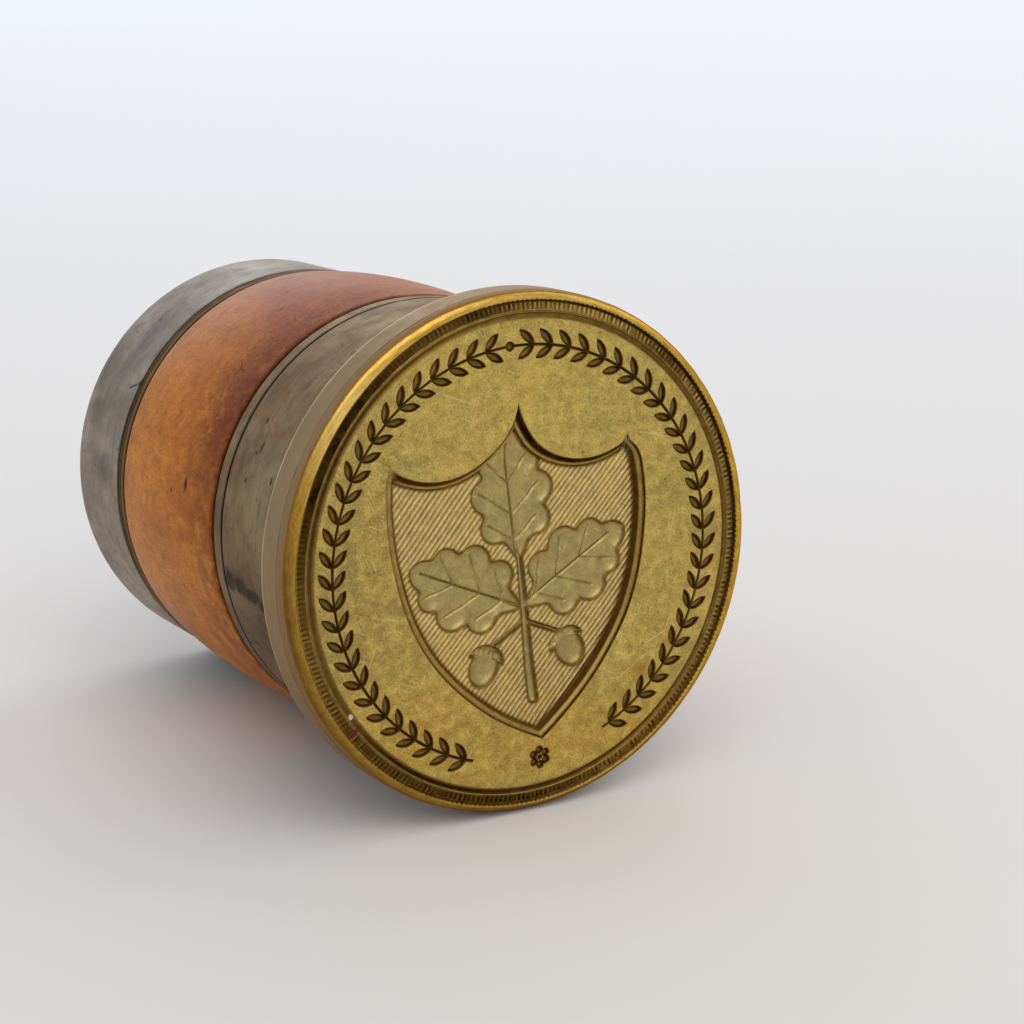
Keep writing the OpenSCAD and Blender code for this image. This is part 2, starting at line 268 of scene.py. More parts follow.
def close_mesh():
    """Joins doubles, turns all normals outward and leaves edit mode."""
    join_doubles()
    bpy.ops.mesh.normals_make_consistent(inside=False)
    bpy.ops.object.mode_set(mode="OBJECT")


print("helpers ready for", len(frame["nodes"]), "nodes")

# %% [markdown]
# A strip through rows of points could be filled face by face in edit mode. It is quicker
# to move the vertices of a flat grid: one direction of the grid runs round the outline,
# and the other steps through the rows and closes underneath, which makes a solid.

# %% Strip along the outline
# These rows carry a painted highlight at the lower right
BRIGHT_ROWS = (6, 7)


def lay_strip(name, loops):
    """A closed strip through loops of equal length: points, heights, and dirt with painted shade.
    """
    clear_selection()
    rows = len(loops) - 1
    bpy.ops.mesh.primitive_grid_add(x_subdivisions=OUTLINE_STEPS, y_subdivisions=rows, size=1)
    obj = bpy.context.object
    obj.name = obj.data.name = name
    sheet = read_points(obj) * MM
    along = np.rint((sheet[:, 0] + 0.5) * OUTLINE_STEPS).astype(int) % OUTLINE_STEPS
    row = np.rint((sheet[:, 1] + 0.5) * rows).astype(int)
    flat, level, soil_and_shade = (np.array(values)[row, along] for values in zip(*loops))
    write_points(obj, np.column_stack([flat, level]))
    store(obj, "dirt_and_shade", soil_and_shade)
    # Painted highlight on those rows, along the lower part of the right side
    down_side = (along - HOLLOW_STEPS) / SIDE_STEPS
    lit = 0.9 * ramp(0.45, 0.7, down_side) * ramp(1.02, 0.98, down_side)
    store(obj, "bright", lit * np.isin(row, BRIGHT_ROWS))
    bpy.ops.object.mode_set(mode="EDIT")
    close_mesh()
    return obj


print("a strip has", OUTLINE_STEPS, "steps, and rows", BRIGHT_ROWS, "catch the light")

# %% [markdown]
# The field is the flat brass round the shield, with the wall at its inner edge. As two
# pieces they would show a seam at the fine line. So the field, the rows of the wall and
# the underside are one strip, from the outer circle down the wall and back to it.

# %% Field and wall of the shield
SEAM_R, FIELD_LOW = 12.42, FACE_Z - 1.3
# Where each outline point meets the outer circle: corners keep their direction
ear_angle = math.atan2(*edge_loop[HOLLOW_STEPS][::-1])
to_ear = np.linspace(math.pi / 2, ear_angle, HOLLOW_STEPS, endpoint=False)
half_turn = np.concatenate([to_ear, np.linspace(ear_angle, -math.pi / 2, SIDE_STEPS + 1)])
round_angles = np.concatenate([half_turn, math.pi - half_turn[-2:0:-1]])
circle = SEAM_R * np.column_stack([np.cos(round_angles), np.sin(round_angles)])
circle = np.column_stack(from_design(*circle.T))
clean = np.zeros(OUTLINE_STEPS)


def placed(loop):
    """A loop of the shield in face coordinates, as the engraver's hand put it."""
    return np.column_stack(by_hand(*from_design(*loop.T)))


loops = [(circle, FACE_Z + clean, clean)]
for inset, height, hollow_inset, hollow_height, line_dirt, side_wall_shade, hollow_wall_shadow in wall_rows:
    share = in_hollow[:, None]
    loop = shield_outline(inset) * (1 - share) + shield_outline(hollow_inset) * share
    level = height * (1 - in_hollow) + hollow_height * in_hollow
    # The fine line's values are dirt, and the walls' values are painted shade
    soil_and_shade = line_dirt * line_share + side_wall_shade * side_share * (1 - in_hollow)
    soil_and_shade += hollow_wall_shadow * hollow_share * in_hollow
    loops.append((placed(loop), FACE_Z + level, np.clip(soil_and_shade, 0, 1)))
loops.append((placed(shield_outline(INNER)), FIELD_LOW + clean, clean))
loops += [(circle, FIELD_LOW + clean, clean), loops[0]]
field = lay_strip("die_field", loops)
print("field:", len(field.data.polygons), "faces")

# %% [markdown]
# What is cut inside the shield is drawn with distances. A distance is negative inside a
# shape and positive outside. A circle is the simplest one, and the larger of two
# distances is where two shapes overlap. Outlines drawn as curves would need a boolean
# each, and a distance also says how far a point lies from the edge of a cut.

# %% Distances to simple shapes
def to_design(x, y):
    """Face coordinates to the design's own."""
    return x * math.cos(LEAN) + y * math.sin(LEAN), y * math.cos(LEAN) - x * math.sin(LEAN)


def disc(u, v, centre, size):
    """Distance to a circle."""
    return np.hypot(u - centre[0], v - centre[1]) - size


def segment(u, v, start, end):
    """Distance to a straight line between two points."""
    du, dv = end[0] - start[0], end[1] - start[1]
    along = ((u - start[0]) * du + (v - start[1]) * dv) / (du * du + dv * dv)
    along = np.clip(along, 0, 1)
    return np.hypot(u - start[0] - along * du, v - start[1] - along * dv)


def lens(u, v, length, width):
    """Distance to a pointed leaf round the origin, with its length along v."""
    arc = (length * length + width * width) / (4 * width)
    off = arc - width / 2
    return np.maximum(disc(u, v, (off, 0), arc), disc(u, v, (-off, 0), arc))


def soft_join(first, second, width):
    """Joins two shapes with a rounded inner corner."""
    share = np.clip(0.5 + 0.5 * (second - first) / width, 0, 1)
    return second * (1 - share) + first * share - width * share * (1 - share)


def turned(u, v, centre, degrees):
    """Coordinates seen from a centre whose v axis is turned by an angle, anticlockwise."""
    a = math.radians(degrees)
    p, q = u - centre[0], v - centre[1]
    return p * math.cos(a) + q * math.sin(a), q * math.cos(a) - p * math.sin(a)


print("the middle of a leaf 1 mm wide lies", -float(lens(0.0, 0.0, 2, 1)), "mm inside it")

# %% [markdown]
# The shield is what two large circles share, less two hollows and cut off at its top. The
# nearest point of its outline could be searched for, but four circles answer at once for
# all vertices of a mesh.

# %% Distance to the shield
SHIELD_TOP = 0.465


def shield_distance(u, v):
    """Distance to the shield's edge, before the hand moved it."""
    edge = v - SHIELD_TOP * SHIELD_H
    for flip in (-1, 1):
        side = (flip * SIDE_AT[0] * SHIELD_H, SIDE_AT[1] * SHIELD_H)
        hollow = (flip * HOLLOW_AT[0] * SHIELD_H, HOLLOW_AT[1] * SHIELD_H)
        edge = np.maximum(edge, disc(u, v, side, SIDE_ARC * SHIELD_H))
        edge = np.maximum(edge, -disc(u, v, hollow, HOLLOW_ARC * SHIELD_H))
    return edge


print("the middle lies", round(float(-shield_distance(0.0, 0.0)), 2), "mm inside the shield")

# %% [markdown]
# An oak sprig fills the shield. Its leaves are lobed, with a vein to each lobe, and its
# acorns have a smooth nut in a scaly cup. A leaf could be drawn as a curve, but a pointed
# shape joined with soft circles gives the lobes at once, and their distances too.

# %% Leaves and acorns
# Lobes on each half of a leaf: place, radius and where the vein starts, in leaf lengths
LOBES = ((0.17, 0.3, 0.12, 0.16), (0.21, 0.54, 0.13, 0.36), (0.14, 0.76, 0.11, 0.6))
LEAF_L, ACORN_SIZE = 0.38 * SHIELD_H, 0.055 * SHIELD_H


def oak_leaf(u, v):
    """Distance to a leaf with its stalk at the origin, along v, and the depth of its veins."""
    lobe_join = 0.06 * LEAF_L
    shape = lens(u, v - LEAF_L / 2, LEAF_L, 0.34 * LEAF_L)
    veins = ramp(0.11, 0.03, segment(u, v, (0, 0), (0, 0.9 * LEAF_L)))
    for side in (-1, 1):
        for at_u, at_v, size, vein_from in LOBES:
            lobe = (side * at_u * LEAF_L, at_v * LEAF_L)
            shape = soft_join(shape, disc(u, v, lobe, size * LEAF_L), lobe_join)
            vein = segment(u, v, (0, vein_from * LEAF_L), (lobe[0] * 1.2, lobe[1] * 1.05))
            veins = np.maximum(veins, 0.8 * ramp(0.09, 0.02, vein))
    tip = disc(u, v, (0, 0.9 * LEAF_L), 0.11 * LEAF_L)
    return soft_join(shape, tip, lobe_join), veins


def acorn(u, v, size):
    """Distances to the nut and the cup of an acorn that points down, and the cup's pattern."""
    nut = (np.hypot(u, (v + 0.25 * size) / 1.35) - size * 0.8) * 0.9
    cup = np.maximum(np.hypot(u, (v - 0.1 * size) / 0.85) - size, -(v - 0.12 * size))
    scales = 11 / size
    pattern = 0.5 + 0.5 * np.cos((u + v) * scales) * np.cos((u - v) * scales)
    return nut, cup, pattern * (cup < 0)


print("a leaf is", round(LEAF_L, 2), "mm long and an acorn", round(2 * ACORN_SIZE, 2), "mm wide")

# %% [markdown]
# The whole sprig is a stem, three leaves and two acorns. On a seal each is a soft hollow
# that prints as a raised shape, deepest in its middle. Separate meshes would need a
# boolean for each cut. As heights the deepest cut wins at every point, as with a graver.

# %% Sprig
# Place of each leaf's stalk in shield heights, and the leaf's turn in degrees
LEAVES = ((-0.02, 2), (-0.16, 62), (-0.16, -62))
# How deep each part is cut, in mm
STEM_CUT, STALK_CUT, LEAF_CUT, VEIN_CUT = 0.34, 0.24, 0.46, 0.1
NUT_CUT, CUP_CUT, SCALE_CUT = 0.5, 0.44, 0.08
# Half widths of the stem at its foot and its top, and of an acorn's stalk, in mm
STEM_FOOT, STEM_TOP, STALK_HALF = 0.34, 0.18, 0.13


def dome(distance, width):
    """0 at an edge, rising as a quarter circle to 1 at this width inside it."""
    share = np.clip(-distance / width, 0, 1)
    return np.sqrt(1 - (1 - share) ** 2)


def sprig(u, v):
    """Distance to the whole sprig, and how deep it is cut under the ground."""
    h = SHIELD_H
    foot_u, foot_v = 0.006 * h, -0.44 * h
    up_stem = ((u - foot_u) * -foot_u + (v - foot_v) * -foot_v) / (foot_u**2 + foot_v**2)
    half_width = STEM_FOOT + (STEM_TOP - STEM_FOOT) * np.clip(up_stem, 0, 1)
    edge = segment(u, v, (foot_u, foot_v), (0, 0)) - half_width
    depth = STEM_CUT * dome(edge, 0.3)
    for stalk_v, turn in LEAVES:
        leaf, veins = oak_leaf(*turned(u, v, (0, stalk_v * h), turn))
        leaf_depth = LEAF_CUT * dome(leaf, 1.15) + VEIN_CUT * veins * (leaf < -0.06)
        depth = np.maximum(depth, leaf_depth)
        edge = np.minimum(edge, leaf)
    for side in (-1, 1):
        own = turned(u, v, (side * 0.13 * h, -0.3 * h), side * 24)
        nut, cup, pattern = acorn(*own, ACORN_SIZE)
        stalk = segment(u, v, (0, -0.2 * h), (side * 0.112 * h, -0.26 * h)) - STALK_HALF
        nut_depth = NUT_CUT * dome(nut, 0.9)
        cup_depth = (CUP_CUT + SCALE_CUT * pattern) * dome(cup, 0.5)
        stalk_depth = STALK_CUT * dome(stalk, STALK_HALF)
        depth = np.maximum.reduce([depth, nut_depth, cup_depth, stalk_depth])
        edge = np.minimum.reduce([edge, nut, cup, stalk])
    return edge, depth


upper_leaf = sprig(np.zeros(1), np.full(1, LEAF_L / 2))
print("the upper leaf is cut", round(float(upper_leaf[1][0]), 2), "mm deep in its middle")

# %% [markdown]
# The ground of the shield is hatched with fine slanting cuts, and dirt gathers in them and round
# the sprig. Painted shade darkens it along the foot of the wall. Each cut could be a thin groove in
# the mesh, but there are dozens of them. One function gives their height at any point, together
# with the dirt and shade, the sprig's area and the ridges between the cuts, which are rubbed
# lighter and get painted glints.

# %% Cuts in the ground
HATCH_PITCH, HATCH_DEPTH = 0.31, 0.085


def ground_cuts(x, y):
    """Heights of the cuts, their dirt with painted shade at the wall's foot, the sprig's area and
    the ridges, which get painted glints.
    """
    u, v = to_design(x, y)
    edge = shield_distance(u, v)
    figure, cut = sprig(u, v)
    inside = ramp(-INNER, -INNER - 0.12, edge)
    across = (u - v) * math.sqrt(0.5) / HATCH_PITCH
    wave = 0.5 * np.cos(2 * math.pi * across)
    uneven = 0.8 + 0.2 * np.sin(across * 1.7) * np.sin((u + v) * 0.6)
    plain = ramp(0.02, 0.12, figure)
    hatch = plain * uneven * (0.5 + wave)
    height = -SHIELD_DEPTH - inside * (HATCH_DEPTH * hatch + cut)
    round_sprig = ramp(0.16, 0.0, np.abs(figure)) * inside
    # Dirt and painted shade along the foot of the wall
    foot = ramp(0.3, 0.0, np.abs(edge + INNER))
    dirt_and_shade = 0.06 * plain + 0.2 * hatch + 0.5 * round_sprig + 0.6 * foot + 0.5 * ramp(0.5, 0.56, cut)
    # Ridges that are rubbed lighter, and get painted glints in the material
    ridges = plain * ramp(0.45, 0.95, 0.5 - wave) * (1 - foot)
    return height, np.clip(dirt_and_shade, 0, 1), ramp(0.02, -0.1, figure), ridges


middle_height = float(ground_cuts(np.zeros(1), np.zeros(1))[0][0])
print("the ground's middle lies", round(-middle_height, 2), "mm under the face")

# %% [markdown]
# The next sheet is cut to the shield's shape, so some of its vertices have to be chosen.
# In the viewport that is done with the mouse. A script sets the vertices' select flags in
# object mode and goes back to edit mode, and Blender itself finds the open edges.

# %% Choosing vertices
def mark(obj, chosen):
    """Selects only these vertices and goes to edit mode."""
    bpy.ops.object.mode_set(mode="EDIT")
    bpy.ops.mesh.select_mode(type="VERT")
    bpy.ops.mesh.select_all(action="DESELECT")
    bpy.ops.object.mode_set(mode="OBJECT")
    obj.data.vertices.foreach_set("select", chosen)
    bpy.ops.object.mode_set(mode="EDIT")


def select_border():
    """Selects the open edges of the mesh."""
    bpy.ops.mesh.select_mode(type="EDGE")
    bpy.ops.mesh.select_all(action="DESELECT")
    bpy.ops.mesh.select_non_manifold(
        use_wire=True,
        use_boundary=True,
        use_multi_face=False,
        use_non_contiguous=False,
        use_verts=False,
    )


print("ready to choose vertices by distance and open edges")

# %% [markdown]
# The ground is a grid whose lines run along the hatching, so that the fine ridges come
# out clean. A round or upright grid would give them steps. Vertices outside the wall are
# deleted, and the open edge is pulled onto the foot of the wall.

# %% Sheet of the ground
HATCH_TURN = math.radians(45) + LEAN
ACROSS, ALONG, GROUND_SPAN = 470, 430, 25.9
SLOPE_STEP = 1e-3
clear_selection()
grid_size = GROUND_SPAN * MM
bpy.ops.mesh.primitive_grid_add(x_subdivisions=ACROSS, y_subdivisions=ALONG, size=grid_size)
ground_piece = bpy.context.object
ground_piece.name = ground_piece.data.name = "die_ground"
points = read_points(ground_piece)
spin = HATCH_TURN - math.pi / 2
cos_spin, sin_spin = math.cos(spin), math.sin(spin)
points[:, :2] = points[:, :2] @ np.array([[cos_spin, sin_spin], [-sin_spin, cos_spin]])
write_points(ground_piece, points)
outside = -INNER + 0.3 * GROUND_SPAN / ALONG
mark(ground_piece, shield_distance(*to_design(points[:, 0], points[:, 1])) > outside)
bpy.ops.mesh.delete(type="VERT")
select_border()
bpy.ops.object.mode_set(mode="OBJECT")
on_edge = np.empty(len(ground_piece.data.vertices), dtype=bool)
ground_piece.data.vertices.foreach_get("select", on_edge)
points = read_points(ground_piece)
for _ in range(3):
    x, y = points[on_edge, 0], points[on_edge, 1]
    here = shield_distance(*to_design(x, y))
    slope_x = (shield_distance(*to_design(x + SLOPE_STEP, y)) - here) / SLOPE_STEP
    slope_y = (shield_distance(*to_design(x, y + SLOPE_STEP)) - here) / SLOPE_STEP
    points[on_edge, 0] -= (here + INNER) * slope_x
    points[on_edge, 1] -= (here + INNER) * slope_y
print("ground:", len(points), "vertices,", int(on_edge.sum()), "of them on the edge")

# %% [markdown]
# Then the cuts go in as heights. A Solidify modifier would copy every cut to the lower
# side, so the open edge is extruded down instead and closed with one face, which makes a
# solid. The engraver's hand moves it together with the wall.

# %% Ground of the shield
GROUND_THICK = 0.6
points[:, 2] = FACE_Z + ground_cuts(points[:, 0], points[:, 1])[0]
write_points(ground_piece, points)
deepest = FACE_Z - points[:, 2].min()
bpy.ops.object.mode_set(mode="EDIT")
select_border()
downward = {"value": (0, 0, -GROUND_THICK * MM)}
bpy.ops.mesh.extrude_region_move(TRANSFORM_OT_translate=downward)
bpy.ops.mesh.edge_face_add()
bpy.ops.mesh.select_mode(type="VERT")
close_mesh()
points = read_points(ground_piece)
_, *layers = ground_cuts(points[:, 0], points[:, 1])
for name, values in zip(("dirt_and_shade", "leafy", "ridges"), layers):
    store(ground_piece, name, values)
points[:, 0], points[:, 1] = by_hand(points[:, 0], points[:, 1])
write_points(ground_piece, points)
print("ground:", len(ground_piece.data.polygons), "faces, deepest cut", round(deepest, 2), "mm")

# %% [markdown]
# Most other pieces were turned on a lathe. In Blender that is a profile drawn by extruding
# one vertex from point to point, and a Screw modifier that sweeps it once round the Z
# axis. Stacked cylinders would be quicker, but a profile has every edge and fillet in
# it, and a closed profile gives a closed solid.

# %% Lathe
def draw_profile(name, points):
    """An edge chain through (radius, height) points in mm, left in edit mode."""
    clear_selection()
    bpy.ops.mesh.primitive_plane_add(size=MM)
    obj = bpy.context.object
    obj.name = obj.data.name = name
    bpy.ops.object.mode_set(mode="EDIT")
    bpy.ops.mesh.select_mode(type="VERT")
    bpy.ops.mesh.select_all(action="SELECT")
    bpy.ops.mesh.merge(type="CENTER")
    here = points[0]
    bpy.ops.transform.translate(value=(here[0] * MM, 0, here[1] * MM))
    for there in points[1:]:
        step = ((there[0] - here[0]) * MM, 0, (there[1] - here[1]) * MM)
        bpy.ops.mesh.extrude_region_move(TRANSFORM_OT_translate={"value": step})
        here = there
    return obj


def lathe(name, points, steps):
    """Sweeps a closed profile about Z. The last point joins the first."""
    obj = draw_profile(name, [*points, points[0]])
    join_doubles()
    bpy.ops.object.mode_set(mode="OBJECT")
    turn = obj.modifiers.new("turn", "SCREW")
    turn.steps = turn.render_steps = steps
    turn.use_merge_vertices, turn.merge_threshold = True, 1e-7
    bpy.ops.object.modifier_apply(modifier="turn")
    bpy.ops.object.mode_set(mode="EDIT")
    close_mesh()
    return obj


def corner(centre, size, start, end, count):
    """Points of an arc in a profile, with angles in degrees from the radius direction."""
    turns = np.radians(np.linspace(start, end, count))
    return [(centre[0] + size * math.cos(a), centre[1] + size * math.sin(a)) for a in turns]


def line(start, end, count):
    """Evenly spaced points of a straight stretch of profile, without its end."""
    return [tuple(p) for p in np.linspace(start, end, count, endpoint=False)]


print("lathe ready")

# %% [markdown]
# Round the field runs a laurel wreath: a thin stem with a pair of leaves at every step.
# Each leaf is a hollow with steep sides and a shallow fold. The wreath climbs both sides
# from a small rosette at the foot of the shield and closes with a berry on top. It is
# cut as heights again, into a swept ring that is fine enough to carry them.

# %% Cuts of the wreath
BORDER_R = 0.797 * FACE_R
PAIRS, FIRST_ANGLE, LAST_ANGLE = 27, 23, 178
LEAF_LEAN = math.radians(38)
LEAF_LENGTH, LEAF_WIDTH = 1.42, 0.54
LEAF_OUT = 0.56 * LEAF_LENGTH
# Half width of the stem, radius of the berry, and the rosette's eye and petals, in mm
STEM_HALF, BERRY_R, EYE_R, PETAL_R, PETAL_OUT = 0.07, 0.3, 0.16, 0.26, 0.5
# How deep each part is cut, in mm
LEAF_WALL, LEAF_FOLD, TWIG_CUT, PETAL_CUT, BERRY_CUT = 0.22, 0.1, 0.12, 0.28, 0.26
FAR_AWAY = 9.0


def wreath_leaves(u, v):
    """Distance to the nearest leaf of the wreath."""
    nearest = np.full_like(u, FAR_AWAY)
    leaf_step = (LAST_ANGLE - FIRST_ANGLE) / PAIRS
    for side in (-1, 1):
        for index in range(PAIRS):
            p, q = turned(u, v, (0, 0), 180 + side * (FIRST_ANGLE + leaf_step * index))
            for outward in (-1, 1):
                ahead, away = -side * math.cos(LEAF_LEAN), outward * math.sin(LEAF_LEAN)
                centre = (LEAF_OUT * ahead, BORDER_R + LEAF_OUT * away)
                turn = math.degrees(math.atan2(-ahead, away))
                leaf = lens(*turned(p, q, centre, turn), LEAF_LENGTH, LEAF_WIDTH)
                nearest = np.minimum(nearest, leaf)
    return nearest


def rosette(u, v):
    """Distance to six petals round a point below the shield."""
    centre = (0, -BORDER_R)
    nearest = disc(u, v, centre, EYE_R)
    for turn in range(0, 360, 60):
        petal = disc(*turned(u, v, centre, turn), (0, PETAL_OUT), PETAL_R)
        nearest = np.minimum(nearest, petal)
    return nearest


def wreath_cuts(x, y):
    """Heights of the wreath's cuts, and the dirt in them."""
    u, v = to_design(x, y)
    leaves, petals = wreath_leaves(u, v), rosette(u, v)
    stem = np.abs(np.hypot(u, v) - BORDER_R) - STEM_HALF
    from_foot = np.degrees(np.arctan2(np.abs(u), -v))
    stem = np.where(from_foot > FIRST_ANGLE - 2, stem, FAR_AWAY)
    berry = disc(u, v, (0, BORDER_R), BERRY_R)
    fold = np.clip(-leaves / (LEAF_WIDTH / 2), 0, 1)
    cuts = (
        LEAF_WALL * ramp(0.02, -0.1, leaves) + LEAF_FOLD * fold,
        TWIG_CUT * dome(stem, STEM_HALF),
        PETAL_CUT * dome(petals, 0.22),
        BERRY_CUT * dome(berry, BERRY_R),
    )
    nearest = np.minimum.reduce([leaves, petals, stem, berry])
    dirt_and_shade = 0.5 * ramp(0.05, -0.04, nearest) + 0.42 * ramp(0.1, 0.02, np.abs(nearest + 0.04))
    return -np.maximum.reduce(cuts), np.clip(dirt_and_shade, 0, 1)


print("wreath:", 4 * PAIRS, "leaves of", LEAF_LENGTH, "mm")

# %% [markdown]
# The ring that carries the wreath lies between the field and the rim. It could be part of
# the field, but a ring of its own has rows that run round with the stem, so the small
# leaves come out clean. Only the vertices of its upper side are lowered by the cuts.

# %% Wreath
RIM_W, MILLED_W, RIDGE_W, LINE_W = 0.75, 0.64, 0.18, 0.32
LINE_IN = FACE_R - RIM_W - MILLED_W - RIDGE_W - LINE_W
RING_OUT, RING_LOW = LINE_IN - 0.55, FACE_Z - 0.7
strip = line((SEAM_R, FACE_Z), (RING_OUT, FACE_Z), 42)
ring_profile = [*strip, (RING_OUT, FACE_Z), (RING_OUT, RING_LOW), (SEAM_R, RING_LOW)]
border = lathe("die_border", ring_profile, 1500)
points = read_points(border)
height, dirt_and_shade = wreath_cuts(points[:, 0], points[:, 1])
upper = points[:, 2] > FACE_Z - 0.35
points[:, 2] += height * upper
write_points(border, points)
store(border, "dirt_and_shade", dirt_and_shade * upper)
print("border:", len(border.data.polygons), "faces")

# %% [markdown]
# The rim of the face is one swept profile: a rounded bead, a milled groove, a sharp ridge
# and a plain groove. A bevel on a disc would give the bead alone. Each point of the
# profile becomes a ring of vertices, which the next step can raise and move.

# %% Profile of the rim
SOCKET_R = 14
BEAD_ROUND = 0.6
MILLED_OUT = FACE_R - RIM_W
MILLED_IN = MILLED_OUT - 0.7
# Steps of the outer wall, of the ridge and of the plain groove, as (radius, depth)
OUTER_WALL = ((0.1, 0.01), (0.05, 0.04), (0, 0.1), (-0.05, 0.24), (-0.09, 0.3))
RIDGE = ((0.06, 0.17), (0.03, 0.1), (0, 0.05), (-0.04, 0.02), (-0.08, 0.05), (-0.11, 0.17))
PLAIN_GROOVE = ((-0.16, 0.2), (-0.26, 0.17), (-0.36, 0.1), (-0.42, 0.04), (-0.47, 0.01))
bead_at = (FLANGE_R - BEAD_ROUND, FACE_Z - BEAD_ROUND)
rim_profile = [
    (RING_OUT, RING_LOW),
    (SOCKET_R - 0.1, EDGE_Z + 0.02),
    (FLANGE_R, EDGE_Z + 0.005),
    (FLANGE_R, EDGE_Z + 0.15),
    *corner(bead_at, BEAD_ROUND, 0, 90, 14),
    *[(MILLED_OUT + off, FACE_Z - depth) for off, depth in OUTER_WALL],
    *line((MILLED_OUT - 0.13, FACE_Z - 0.3), (MILLED_IN + 0.06, FACE_Z - 0.17), 9),
    *[(MILLED_IN + off, FACE_Z - depth) for off, depth in (*RIDGE, *PLAIN_GROOVE)],
    *line((LINE_IN - 0.08, FACE_Z), (RING_OUT, FACE_Z), 5),
    (RING_OUT, FACE_Z),
]
print("rim profile:", len(rim_profile), "points")

# %% [markdown]
# What was cut or worn round a circle changes with the angle. Noise in the material could
# vary the colour alone, but shape and dirt have to change together. So these helpers give
# the angle of every vertex, uneven waves, and soft stretches along the circle.

# %% Round the circle
def polar(points):
    """Distance from the axis and angle about it for each vertex."""
    return np.hypot(points[:, 0], points[:, 1]), np.arctan2(points[:, 1], points[:, 0])


def waves(angle, seed, count, strongest):
    """A smooth, uneven wave round a circle, from a fixed seed, about -1 to 1."""
    pick = np.random.default_rng(seed)
    total = np.zeros_like(angle)
    for _ in range(count):
        strength, often = pick.uniform(0.4, 1), pick.integers(1, strongest)
        total += strength * np.sin(often * angle + pick.uniform(0, 6.28))
    return total / (0.5 * count)


def stretch_at(turn, degrees, width):
    """1 at an angle, fading to both sides over a width in degrees."""
    off = (turn - math.radians(degrees) + math.pi) % (2 * math.pi) - math.pi
    return np.exp(-((off / math.radians(width)) ** 2))


print("one degree of the rim is", round(math.radians(FACE_R), 2), "mm")

# %% [markdown]
# The milling is a row of small reeds across the groove, each worn by its own amount.
# Three hundred copies of one reed would look stamped, so the rings of vertices are raised
# and lowered round the circle instead.

# %% Milling of the rim
REEDS = 300
# Height of a reed, of the slow waves under it and of its notch in the outer wall, in mm
REED_H, WAVE_H, NOTCH = 0.06, 0.03, 0.045
rim = lathe("die_rim", rim_profile, 6 * REEDS)
points = read_points(rim)
reach, angle = polar(points)
raised = points[:, 2] > FACE_Z - 0.5
# Old dirt fills the milling at the upper left
filled = stretch_at(angle, 150, 50)
wander = 0.8 * waves(angle, 4, 5, 9) + 0.6 * waves(angle, 14, 8, 110)
reeds = np.cos(REEDS * angle + wander) * (1 - 0.85 * filled)
reeds *= 0.35 + 0.65 * ramp(MILLED_IN + 0.1, MILLED_OUT - 0.3, reach)
each_reed = np.random.default_rng(5).uniform(0.15, 1.35, REEDS)
worn = each_reed[np.floor(REEDS * angle / (2 * math.pi)).astype(int) % REEDS]
on_reeds = ramp(MILLED_IN + 0.02, MILLED_IN + 0.12, reach) * raised
on_reeds = on_reeds * ramp(MILLED_OUT - 0.08, MILLED_OUT - 0.16, reach)
points[:, 2] += on_reeds * (REED_H * worn * reeds + WAVE_H * waves(angle, 7, 8, 90))
notched = ramp(0.12, 0.0, np.abs(reach - MILLED_OUT + 0.02)) * raised
points[:, :2] *= (1 + NOTCH * notched * worn * reeds / reach)[:, None]
print("reeds: depth of milling", round(float(2 * REED_H * worn.max()), 2), "mm at most")

# %% [markdown]
# Years of use have left small dents along the bead, and the grooves wander off their
# circle. A sculpting brush could push them in by hand. Random draws from a fixed seed put
# the same dents there each time, and two slow waves pull the grooves to their places.

# %% Dents and grooves of the rim
DENTS = 24
# Shift and ovalness of the grooves along x and y, in mm
SHIFT_X, SHIFT_Y, OVAL_X, OVAL_Y = 0.137, -0.066, -0.147, 0.055


def groove_shift(turn):
    """How far the grooves lie outside their circle at an angle, in mm."""
    shift = SHIFT_X * np.cos(turn) + SHIFT_Y * np.sin(turn) - 0.02
    return shift + OVAL_X * np.cos(2 * turn) + OVAL_Y * np.sin(2 * turn)


dents = np.zeros_like(reach)
pick = np.random.default_rng(21)
for _ in range(DENTS):
    depth = pick.uniform(0.004, 0.016)
    dents += depth * stretch_at(angle, pick.uniform(0, 360), pick.uniform(1, 4))
uneven = dents + 0.006 * (1 + waves(angle, 9, 7, 60))
inward = ramp(FACE_R - 0.62, FACE_R - 0.3, reach) * uneven
points[:, :2] *= (1 - inward / reach)[:, None]
points[:, 2] -= 0.5 * inward * (points[:, 2] > EDGE_Z + 0.3)
pulled = ramp(RING_OUT, RING_OUT + 0.5, reach) * raised
pulled = pulled * ramp(MILLED_OUT + 0.45, MILLED_OUT + 0.1, reach)
points[:, :2] *= (1 + pulled * groove_shift(angle) / reach)[:, None]
write_points(rim, points)
print("rim:", len(rim.data.polygons), "faces, dents up to", round(float(dents.max()), 3), "mm")

# %% [markdown]
# The rim's dirt isn't even: the groove is blackest at the upper left and dark again at the foot,
# and a dark line runs along its outer edge where it is clean. The bead keeps its gold. A painted
# highlight makes it brightest at the upper left, and painted shade makes it browner towards the
# foot, at the left and at the lower right. Noise alone wouldn't know where the grooves are, so
# these values are stored on the vertices.

